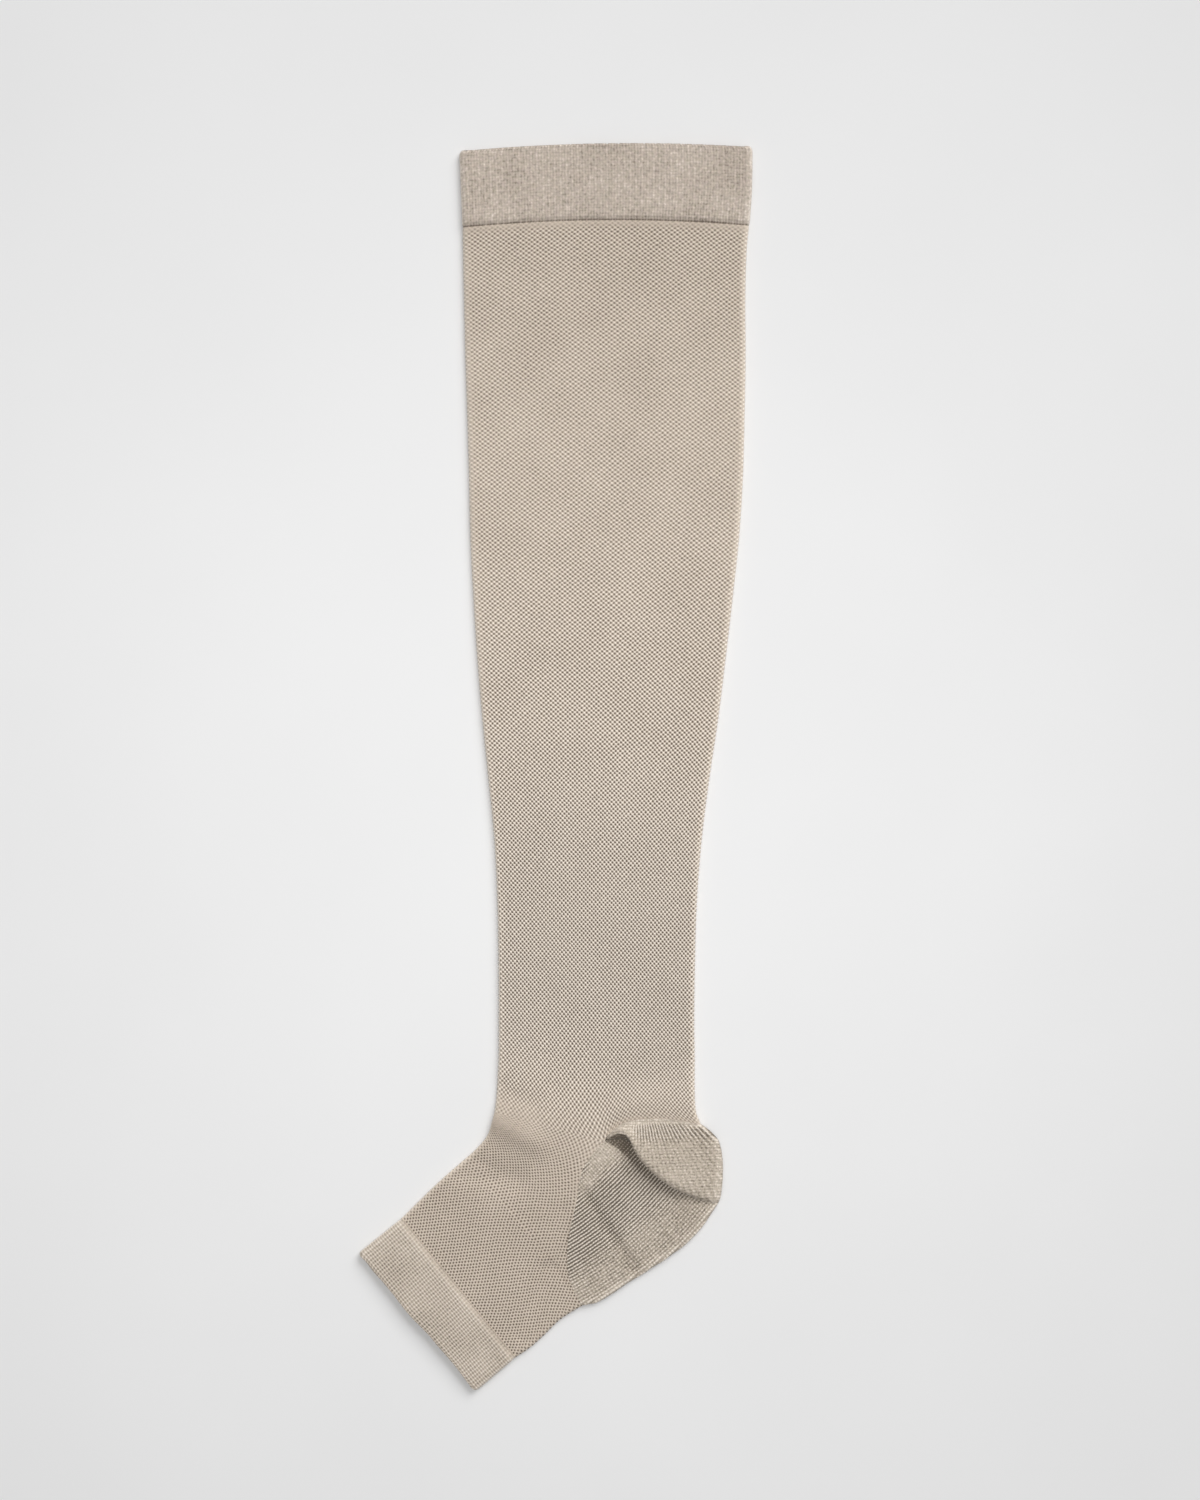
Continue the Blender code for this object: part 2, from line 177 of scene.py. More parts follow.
# How far the lower layer is hollowed along the fan
HOLLOWS = ((0.0, 0.0), (2.0, 0.1), (3.0, 0.5), (4.0, 0.9), (5.0, 0.5), (6.0, 0.1), (7.0, 0.0), (16.0, 0.0))
# A swell's share of its height along a ray, and the tuck's share of its depth
SWELL_ALONG = ((0.0, 0.0), (0.06, 0.3), (0.15, 0.65), (0.32, 0.97), (0.65, 0.84), (0.85, 0.42), (1.0, 0.12))
TUCK_ALONG = (
    (0.0, 0.0), (0.08, 0.05), (0.2, 0.16), (0.35, 0.5), (0.6, 0.55), (0.8, 0.12), (0.9, 0.0), (1.0, 0.0),
)
# Painted shade in the crease under the lip: how much darker the yarn is painted, along a ray
CREASE_PAINTED_SHADE = ((0.0, -0.15), (0.05, -0.5), (0.2, -0.56), (0.3, -0.36), (0.5, -0.22), (0.8, -0.05), (1.0, 0.0))

# The foot's two folds: the instep from the ankle to the toe band, and the sole beyond the heel
INSTEP_BEND = (FRONT_ANKLE, (-24.4, -132.4), (-28.6, -137.6), (-33.5, -142.0))
INSTEP = ((-33.5, -142.0), (-41.2, -148.7), (-48.5, -155.7), (-55.2, -162.4))
SOLE = (SOLE_END, (1.8, -198.8), (-4.0, -204.4), (-8.9, -208.8), (-14.4, -212.5))
FOOT_BOW = 1.8
TOE_FRONT, TOE_BACK = (-70.9, -175.0), (-28.4, -224.4)
# The foot's first rows end on the sole's edge and fan out. Each line gives a row's share of their
# count, then its shares of the way along the sole's edge and along the instep's bend
FOOT_FAN = (
    (0.0, 0.0, 0.0), (0.05, 0.042, 0.035), (0.108, 0.0915, 0.07), (0.227, 0.183, 0.125),
    (0.346, 0.273, 0.18), (0.476, 0.379, 0.26), (0.622, 0.498, 0.4), (0.752, 0.614, 0.56),
    (0.856, 0.721, 0.72), (0.936, 0.823, 0.87), (0.983, 0.915, 0.965), (1.0, 1.0, 1.0),
)
TOE_GAPE = 0.9  # how far the opening's upper layer stands off at its middle
TOE_CORNER = 1.4

# The heel's ribs: they fan out below the ankle from one centre, and curve round another below
# the crease
TOP_RIB_CENTRE = np.array((30.0, -108.0))
TOP_RIB_RADIUS = 24.0
TOP_RIB = 1.02
SOLE_RIB_CENTRE = np.array((-66.0, -59.0))
SOLE_RIB_RADIUS = 130.0
SOLE_RIB = 1.12
HEEL_STITCH = 1.05


@dataclass(frozen=True)
class Fold:
    """A soft fold of the cloth along a line, with its width and what it does to each layer."""

    name: str
    x1: float
    y1: float
    x2: float
    y2: float
    width: float
    above: float
    below: float = 0.0

    def reach(self, place: Array) -> Array:
        """How strongly the fold acts at each place.

        Args:
            place: Points in plan.

        Returns:
            A share from 0 to 1 for each point.
        """
        start, along = np.array((self.x1, self.y1)), np.array((self.x2 - self.x1, self.y2 - self.y1))
        share = np.clip((place - start) @ along / (along @ along), 0.0, 1.0)
        away = place - start - share[..., None] * along
        return np.exp(-(away**2).sum(-1) / self.width**2)


GORE = Fold("gore beside the pinch", 17.2, -138.5, 10.5, -151.0, 3.4, 0.25)
SOLE_LINE = Fold("line across the sole", 11, -154, 30.5, -184, 2.4, -0.8)
FOLDS = (
    Fold("swell below the band", 10, 160, 40, 120, 34, 0.5),
    Fold("swell at the calf", 22, 60, 12, -10, 26, 0.5),
    Fold("swell above the ankle", 14, -60, 12, -95, 18, 0.6),
    Fold("swell round the ankle", -4, -128, -10, -168, 17, 0.8),
    Fold("swell over the pinch", 25, -124, 30, -122, 6.5, 1.4),
    Fold("trough before the bend", -22, -116, -9, -121, 4.2, -0.8),
    Fold("ridge at the bend", -24, -127, -7, -135, 4.0, 1.1),
    Fold("trough of the instep", -35, -143.5, -14, -148.5, 4.4, -1.1),
    Fold("swell of the instep", -22, -161, -6, -158, 14, 0.9, 0.2),
    Fold("swell of the foot", -24, -190, -18, -186, 13, 0.9),
    Fold("trough by the sole", -3, -181, -11, -203, 3.8, -1.1),
    Fold("dip beside the sole", 3, -160, 1, -180, 3.5, -0.5),
    GORE,
    SOLE_LINE,
    Fold("dent at the back of the ankle", 42, -111, 47, -106, 4.5, -0.5),
    Fold("ridge over the heel", 28, -118, 50, -122, 5.0, 0.45),
)


def smooth(keys: Array, values: Array, at: Array) -> Array:
    """Values on the smooth line through the given ones.

    Args:
        keys: Where the values are given, in rising order.
        values: One value or one point for each key.
        at: Where values are wanted.

    Returns:
        A value or a point for each place in at.
    """
    index = np.arange(len(keys))
    before, after = np.maximum(index - 1, 0), np.minimum(index + 1, len(keys) - 1)
    across = (keys[after] - keys[before]).reshape((-1,) + (1,) * (values.ndim - 1))
    slopes = (values[after] - values[before]) / across
    low = np.clip(np.searchsorted(keys, at, side="right") - 1, 0, len(keys) - 2)
    span = keys[low + 1] - keys[low]
    share = (at - keys[low]) / span
    if values.ndim > 1:
        span, share = span[..., None], share[..., None]
    cube, square = share**3, share**2
    return (
        values[low] * (2 * cube - 3 * square + 1)
        + slopes[low] * span * (cube - 2 * square + share)
        + values[low + 1] * (3 * square - 2 * cube)
        + slopes[low + 1] * span * (cube - square)
    )


def table_line(table: tuple, column: int = 1) -> Callable[[Array], Array]:
    """The smooth line through one column of a table whose first column holds its keys.

    Args:
        table: The table.
        column: The column that holds the values.

    Returns:
        The line.
    """
    rows = np.array(table, dtype=float)
    rows = rows[np.argsort(rows[:, 0])]
    return lambda at: smooth(rows[:, 0], rows[:, column], np.asarray(at, dtype=float))


def through(points: tuple) -> Line:
    """The smooth line through these points, by share of its length from 0 to 1.

    Args:
        points: The points, in order.

    Returns:
        The line.
    """
    values = np.array(points, dtype=float)
    steps = np.linalg.norm(np.diff(values, axis=0), axis=1)
    keys = np.concatenate([[0.0], np.cumsum(steps)]) / steps.sum()
    return lambda share: smooth(keys, values, np.asarray(share, dtype=float))


def ease(value: Array) -> Array:
    """A soft step from 0 to 1 as a value goes from 0 to 1."""
    share = np.clip(value, 0.0, 1.0)
    return share * share * (3 - 2 * share)


def onset(value: Array, start: float, over: float) -> Array:
    """A soft step from 0 to 1 that begins at a value and takes a stretch beyond it."""
    return ease((value - start) / over)


def ramp(value: float, start: float, end: float) -> float:
    """How far a value is from start towards end, and never less than nothing."""
    return max(0.0, (value - start) / (end - start))


def bell(distance: Array, width: float) -> Array:
    """A soft bump that is 1 at no distance and fades over a width."""
    return np.exp(-((distance / width) ** 2))


def between(first: Array, last: Array, share: Array) -> Array:
    """Points from the first one to the last, by share."""
    return first + (last - first) * np.asarray(share)[..., None]


def ripple(place: Array) -> Array:
    """The faint unevenness of cloth that was smoothed by hand, in millimetres.

    Args:
        place: Points in plan.

    Returns:
        A height for each point.
    """
    x, y = place[..., 0], place[..., 1]
    return (
        0.05 * np.sin(x / 9.1 + y / 23.0 + 0.7)
        + 0.05 * np.sin(x / 5.3 - y / 14.2 + 2.1)
        + 0.04 * np.sin(y / 7.4 + 0.6 * np.sin(x / 11.0))
    )


FRONT_FOLD = table_line(LEVELS, 1)
BACK_FOLD = table_line(LEVELS, 2)


def layer_heights(place: Array, wall: float, swell: Array = 0.0, hollow: Array = 0.0) -> tuple[Array, Array]:
    """The middle heights of the upper and the lower layer.

    Args:
        place: Points in plan.
        wall: The cloth's thickness.
        swell: How far the upper layer rises of itself.
        hollow: How far the lower layer rises of itself.

    Returns:
        The heights of the upper layer and those of the lower one.
    """
    top = 1.5 * wall + SLIT + swell + ripple(place)
    bottom = 0.5 * wall + hollow + 0.0 * top
    for fold in FOLDS:
        reach = fold.reach(place)
        top = top + fold.above * reach
        bottom = bottom + fold.below * reach
    return np.maximum(top, bottom + wall + LEAST_SLIT), bottom


def fold_turn(inner: Array, edge: Array, top: float, bottom: float) -> Array:
    """The round turn from the upper layer to the lower one.

    Args:
        inner: The point in plan where the turn begins and ends.
        edge: The point in plan that it reaches.
        top: The upper layer's height there.
        bottom: The lower layer's height there.

    Returns:
        The points between the two layers.
    """
    angle = np.pi * (0.5 - np.arange(1, FOLD_STEPS) / FOLD_STEPS)
    place = between(inner, edge, np.cos(angle))
    height = (top + bottom) / 2 + (top - bottom) / 2 * np.sin(angle)
    return np.column_stack([place, height])


@dataclass
class HalfCourse:
    """Half a course: along the upper layer to a fold, round it, and back along the lower layer."""

    points: Array
    tip: int = LAYER_STEPS + FOLD_STEPS // 2

    def lengths(self) -> Array:
        """How far along the course each point is."""
        return np.concatenate([[0.0], np.cumsum(np.linalg.norm(np.diff(self.points, axis=0), axis=1))])

    def wales(self, start: float, end: float) -> Array:
        """Wale numbers from start through the fold's wale at its tip to end.

        Args:
            start: The wale of its first point.
            end: The wale of its last point.

        Returns:
            A wale for each point.
        """
        length = self.lengths()
        upper = start + (FOLD_WALE - start) * length / length[self.tip]
        lower_share = (length - length[self.tip]) / (length[-1] - length[self.tip])
        lower = FOLD_WALE + (end - FOLD_WALE) * lower_share
        return np.where(np.arange(len(length)) <= self.tip, upper, lower)


def half_course(line: Line, heights: Heights, wall: float, upper_line: Optional[Line] = None) -> HalfCourse:
    """Half a course, from its middle to a fold and back.

    Args:
        line: The course in plan, from its middle at 0 to its outline at 1.
        heights: The two layers' middle heights along it.
        wall: The cloth's thickness.
        upper_line: The upper layer's own line, where it leaves the lower one's.

    Returns:
        The half course.
    """
    ends = line(np.array((0.0, 1.0)))
    top, bottom = heights(np.array((1.0,)))
    start = 1.0 - ((top[0] - bottom[0]) / 2 + wall / 2) / np.linalg.norm(ends[1] - ends[0])
    share = start * np.linspace(0.0, 1.0, LAYER_STEPS + 1)
    top, bottom = heights(share)
    lower_place = line(share)
    upper_place = lower_place if upper_line is None else upper_line(share)
    inner = lower_place[-1]
    inward = (inner - ends[1]) / np.linalg.norm(inner - ends[1])
    turn = fold_turn(inner, ends[1] + inward * wall / 2, top[-1], bottom[-1])
    upper = np.column_stack([upper_place, top])
    lower = np.column_stack([lower_place, bottom])[::-1]
    return HalfCourse(np.concatenate([upper, turn, lower]))


def sample(points: Array, keys: Array, at: Array) -> Array:
    """Points along a course at the given wales."""
    return np.column_stack([np.interp(at, keys, points[:, axis]) for axis in range(3)])


def ring(course: Line, wall: float, wales: Array) -> Array:
    """A closed course of the leg or the top band.

    Args:
        course: The course in plan, from the front fold at 0 to the back fold at 1.
        wall: The cloth's thickness.
        wales: The wales wanted, from -50 to 50.

    Returns:
        A point for each wale.
    """
    sides = []
    for side in (-1.0, 1.0):
        line = (lambda share, side=side: course(0.5 + 0.5 * side * share))
        sides.append(half_course(line, lambda share, line=line: layer_heights(line(share), wall), wall))
    front, back = sides
    front_wales = front.wales(0.0, WALES / 2)
    back_wales = -back.wales(0.0, WALES / 2)
    points = np.concatenate([back.points[::-1], front.points[1:]])
    return sample(points, np.concatenate([back_wales[::-1], front_wales[1:]]), wales)


def leg_course(front_level: float, back_level: float, bow: float) -> Line:
    """A course of the leg or the top band, between its folds at two heights.

    Args:
        front_level: Its height at the front fold.
        back_level: Its height at the back fold.
        bow: How far it curves up halfway.

    Returns:
        The course in plan.
    """
    front = np.array((FRONT_FOLD(front_level), front_level))
    back = np.array((BACK_FOLD(back_level), back_level))
    rise = np.array((0.0, bow))
    return lambda share: between(front, back, share) + (4 * share * (1 - share))[..., None] * rise


def ankle_course(share: Array) -> Array:
    """The bent course at the ankle: straight to the pinch, then over the top of the heel.

    Args:
        share: Shares of the way from the front fold to the back one.

    Returns:
        A point in plan for each share.
    """
    front = between(np.array(FRONT_ANKLE), np.array(PINCH), 2 * share)
    back = through(HEEL_TOP)(np.clip(2 * share - 1, 0.0, 1.0))
    return np.where((share < 0.5)[..., None], front, back)


def foot_line(back: Array, front: Array, bow: float) -> Line:
    """A course of the foot, from its back end to the front fold, curving towards the ankle.

    Args:
        back: Its back end.
        front: Its end at the front fold.
        bow: How far it curves halfway.

    Returns:
        The course in plan.
    """
    across = (front - back) / np.linalg.norm(front - back)
    aside = np.array((across[1], -across[0])) * bow
    return lambda share: between(back, front, share) + (4 * share * (1 - share))[..., None] * aside


def foot_half(line: Line, wall: float, gape: float = 0.0) -> HalfCourse:
    """A foot's course, from its back end round the front fold and back.

    Args:
        line: The course in plan.
        wall: The cloth's thickness.
        gape: How far its upper layer is raised at its middle.

    Returns:
        The half course.
    """
    raised = (lambda share: gape * 4 * share * (1 - share))
    return half_course(line, lambda share: layer_heights(line(share), wall, raised(share)), wall)


@dataclass
class FootRing:
    """A closed course of the foot or the toe band, from the back fold's tip round to it again."""

    points: Array
    wales: Array
    first: int  # the point at which the upper layer leaves the back fold
    last: int  # the point at which the lower layer meets it


def foot_ring(front: Array, back: Array, bow: float, wall: float, gape: float = 0.0) -> FootRing:
    """A closed course of the foot between its two folds.

    Args:
        front: Its end at the instep.
        back: Its end at the sole.
        bow: How far it curves towards the ankle.
        wall: The cloth's thickness.
        gape: How far its upper layer is raised at its middle.

    Returns:
        The course.
    """
    top, bottom = layer_heights(back[None], wall)
    inward = (front - back) / np.linalg.norm(front - back)
    inner = back + inward * ((top[0] - bottom[0]) / 2 + wall / 2)
    half = foot_half(foot_line(inner, front, bow), wall, gape)
    turn = fold_turn(inner, back + inward * wall / 2, half.points[0, 2], half.points[-1, 2])
    middle = (FOLD_STEPS - 1) // 2
    rising, falling = turn[middle::-1], turn[: middle - 1 : -1]
    points = np.concatenate([rising, half.points, falling])
    tip = len(rising) + half.tip
    length = HalfCourse(points).lengths()
    upper = -FOLD_WALE + 2 * FOLD_WALE * length / length[tip]
    lower = FOLD_WALE + 2 * FOLD_WALE * (length - length[tip]) / (length[-1] - length[tip])
    wales = np.where(np.arange(len(length)) <= tip, upper, lower)
    return FootRing(points, wales, len(rising), len(rising) + len(half.points) - 1)


@dataclass
class Face:
    """One face of a stretch of cloth: its middle surface as a grid, and what the stitch adds."""

    points: Array  # rows x columns x 3, with nothing (nan) where the grid has no cloth
    knit: Array  # rows x columns x 2, wales and courses
    relief: Array  # rows x columns, how far the stitch stands off
    thickness: Array  # rows x columns
    strength: Array  # rows x columns
    tone: Array  # rows x columns
    drawn: Array  # rows x columns
    joined: bool = True  # the last column meets the first
    poles: bool = False  # the first and the last column are each one point

    def index(self) -> Array:
        """The number of each grid point, or -1 where there is none.

        Returns:
            Rows x columns of numbers.
        """
        rows, columns = self.points.shape[:2]
        index = np.arange(rows * columns).reshape(rows, columns)
        if self.poles:
            index[:, 0], index[:, -1] = index[0, 0], index[0, -1]
        return np.where(np.isfinite(self.points[..., 0]), index, -1)

    def quads(self) -> tuple[Array, Array]:
        """The grid's cells.

        Returns:
            The point numbers of each cell, and the wales and courses at its corners.
        """
        index, knit = self.index(), self.knit
        if self.joined:
            index = np.concatenate([index, index[:, :1]], axis=1)
            knit = np.concatenate([knit, knit[:, :1] + np.array((WALES, 0.0))], axis=1)
        cells = np.stack([index[:-1, :-1], index[:-1, 1:], index[1:, 1:], index[1:, :-1]], -1).reshape(-1, 4)
        corners = np.stack([knit[:-1, :-1], knit[:-1, 1:], knit[1:, 1:], knit[1:, :-1]], -2).reshape(-1, 4, 2)
        kept = (cells >= 0).all(axis=1)
        return cells[kept], corners[kept]

    def rims(self) -> list[Array]:
        """The grid's free edges, as loops of point numbers in the direction of its cells.

        Returns:
            One loop for the rim of a fan, and one for each end of a tube.
        """
        index = self.index()
        if self.poles:
            return [np.concatenate([index[0], index[-1, -2:0:-1]])]
        gaps = index[:, -1] < 0
        if not gaps.any():
            return [index[0], index[-1, ::-1]]
        closed = int(np.argmin(gaps))  # the first row that closes
        cloth = int((index[0] >= 0).sum())
        first = np.concatenate(
            [index[0, :cloth], index[1:closed, cloth - 1], index[closed, cloth - 1 :], index[closed:0:-1, 0]]
        )
        return [first, index[-1, ::-1]]

    def normals(self, cells: Array) -> Array:
        """The outward direction at each grid point.

        Args:
            cells: The point numbers of the grid's cells.

        Returns:
            One direction for each point number.
        """
        points = self.points.reshape(-1, 3)
        corners = points[cells]
        faces = np.cross(corners[:, 2] - corners[:, 0], corners[:, 3] - corners[:, 1])
        normals = np.zeros_like(points)
        for corner in range(4):
            np.add.at(normals, cells[:, corner], faces)
        return normals / np.maximum(np.linalg.norm(normals, axis=1, keepdims=True), 1e-9)


def bridge(outer: Array, inner: Array, points: Array) -> Array:
    """Triangles that close the gap between two loops.

    Args:
        outer: Point numbers of the outer face's loop, in its own direction.
        inner: Point numbers of the inner face's loop, in the same direction.
        points: All points.

    Returns:
        The triangles' point numbers.
    """

    def shares(loop: Array) -> Array:
        """The share of a loop's length at which each of its points lies.

        Args:
            loop: The loop's point numbers.

        Returns:
            The shares, from 0 to 1 where it closes.
        """
        closed = points[np.append(loop, loop[0])]
        length = np.cumsum(np.linalg.norm(np.diff(closed, axis=0), axis=1))
        return np.concatenate([[0.0], length / length[-1]])

    outer_share, inner_share = shares(outer), shares(inner)
    triangles, i, j = [], 0, 0
    while i < len(outer) or j < len(inner):
        a, b = outer[i % len(outer)], inner[j % len(inner)]
        if j == len(inner) or (i < len(outer) and outer_share[i + 1] <= inner_share[j + 1]):
            triangles.append((outer[(i + 1) % len(outer)], a, b))
            i += 1
        else:
            triangles.append((b, inner[(j + 1) % len(inner)], a))
            j += 1
    return np.array(triangles)


@dataclass
class Polygons:
    """Polygons with the same number of corners, with their wales and courses."""

    corners: Array
    knit: Array
    is_smooth: bool


def split_poles(cells: Array, knit: Array) -> list[Polygons]:
    """Cells as quads, and as triangles where two corners meet in a pole.

    Args:
        cells: The point numbers of each cell.
        knit: The wales and courses at its corners.

    Returns:
        The quads, and the triangles at each pole.
    """
    first, last = cells[:, 0] == cells[:, 3], cells[:, 1] == cells[:, 2]
    whole = ~(first | last)
    found = [Polygons(cells[whole], knit[whole], True)]
    for chosen, kept in ((first, [0, 1, 2]), (last, [0, 1, 3])):
        if chosen.any():
            found.append(Polygons(cells[chosen][:, kept], knit[chosen][:, kept], True))
    return found


def make_mesh(name: str, points: Array, groups: list[Polygons], marks: dict[str, Array]) -> bpy.types.Mesh:
    """A mesh from arrays.

    Args:
        name: The mesh's name.
        points: Its points in millimetres, some of which may be unused.
        groups: Its polygons.
        marks: The attributes' values at each point, by name.

    Returns:
        The mesh, in metres.
    """
    flat = np.concatenate([group.corners.ravel() for group in groups])
    used, flat = np.unique(flat, return_inverse=True)
    sizes = np.concatenate([np.full(len(group.corners), group.corners.shape[1]) for group in groups])
    mesh = bpy.data.meshes.new(name)
    mesh.vertices.add(len(used))
    mesh.vertices.foreach_set("co", (points[used] * MM).astype(np.float32).ravel())
    mesh.loops.add(len(flat))
    mesh.loops.foreach_set("vertex_index", flat.astype(np.int32).ravel())
    mesh.polygons.add(len(sizes))
    mesh.polygons.foreach_set("loop_start", np.concatenate([[0], np.cumsum(sizes)[:-1]]).astype(np.int32))
    soft = np.concatenate([np.full(len(group.corners), group.is_smooth) for group in groups])
    mesh.polygons.foreach_set("use_smooth", soft)
    mesh.update(calc_edges=True)
    uv_map = mesh.uv_layers.new(name=KNIT)
    knit = np.concatenate([group.knit.ravel() for group in groups])
    uv_map.uv.foreach_set("vector", knit.astype(np.float32))
    for mark, values in marks.items():
        attribute = mesh.attributes.new(mark, "FLOAT", "POINT")
        attribute.data.foreach_set("value", values[used].astype(np.float32))
    mesh.validate()
    rims = np.concatenate([group.corners for group in groups if not group.is_smooth])
    sharpen(mesh, np.searchsorted(used, rims))
    return mesh


def sharpen(mesh: bpy.types.Mesh, rims: Array) -> None:
    """Marks the edges of a mesh's rims as sharp, so that they don't shade the cloth beside them.

    Args:
        mesh: The mesh.
        rims: The point numbers of the rims' triangles.
    """
    sides = np.sort(np.concatenate([rims[:, [0, 1]], rims[:, [1, 2]], rims[:, [2, 0]]]), axis=1)
    ends = np.empty(2 * len(mesh.edges), dtype=np.int32)
    mesh.edges.foreach_get("vertices", ends)
    edges = np.sort(ends.reshape(-1, 2), axis=1)
    pair = (len(mesh.vertices), 1)  # makes one number of an edge's two points
    mesh.edges.foreach_set("use_edge_sharp", np.isin(edges @ pair, sides @ pair))


def linear(code: str) -> tuple[float, float, float, float]:
    """The linear colour of an sRGB hex code.

    Args:
        code: The code, with its hash.

    Returns:
        Red, green, blue and alpha.
    """
    values = [int(code[start : start + 2], 16) / 255 for start in (1, 3, 5)]
    red, green, blue = (v / 12.92 if v <= 0.04045 else ((v + 0.055) / 1.055) ** 2.4 for v in values)
    return red, green, blue, 1.0


def add(tree: NodeTree, kind: str, settings: dict[Any, Any], links: dict[Any, Socket]) -> bpy.types.Node:
    """Adds a node with its settings and links.

    Args:
        tree: The node tree.
        kind: The node's type.
        settings: Values by input number, or by the name of an input or a property.
        links: Sockets of other nodes by input number or name.

    Returns:
        The node.
    """
    node = tree.nodes.new(kind)
    for name, value in settings.items():
        if isinstance(name, int) or (name in node.inputs and not hasattr(node, str(name))):
            node.inputs[name].default_value = value
        else:
            setattr(node, name, value)
    for name, socket in links.items():
        tree.links.new(socket, node.inputs[name])
    return node


def math_node(tree: NodeTree, operation: str, *values: Any) -> Socket:
    """The result of a sum on sockets and numbers.

    Args:
        tree: The node tree.
        operation: The sum's name.
        *values: Its sockets and numbers, in order.

    Returns:
        The result's socket.
    """
    settings: dict[Any, Any] = {"operation": operation}
    links: dict[Any, Socket] = {}
    for number, value in enumerate(values):
        (links if isinstance(value, bpy.types.NodeSocket) else settings)[number] = value
    return add(tree, "ShaderNodeMath", settings, links).outputs[0]


def wave(tree: NodeTree, count: Socket, repeats: float = 1.0) -> Socket:
    """A wave from -1 to 1 that repeats this many times for each one counted."""
    return math_node(tree, "COSINE", math_node(tree, "MULTIPLY", count, 2 * np.pi * repeats))


DRIFT_SCALE = 420.0  # a patch of tighter loops is 2.4 mm wide
PATCH_SCALE = 55.0  # a paler or darker patch of yarn is 18 mm wide
FLECK_RELIEF = 0.6  # a fleck's bump, as a share of the stitch's


class Stitch(Enum):
    """How a stretch of the stocking is knitted."""

    BIRDSEYE = "birdseye"
    WELT = "welt"
    PLAIN = "plain"


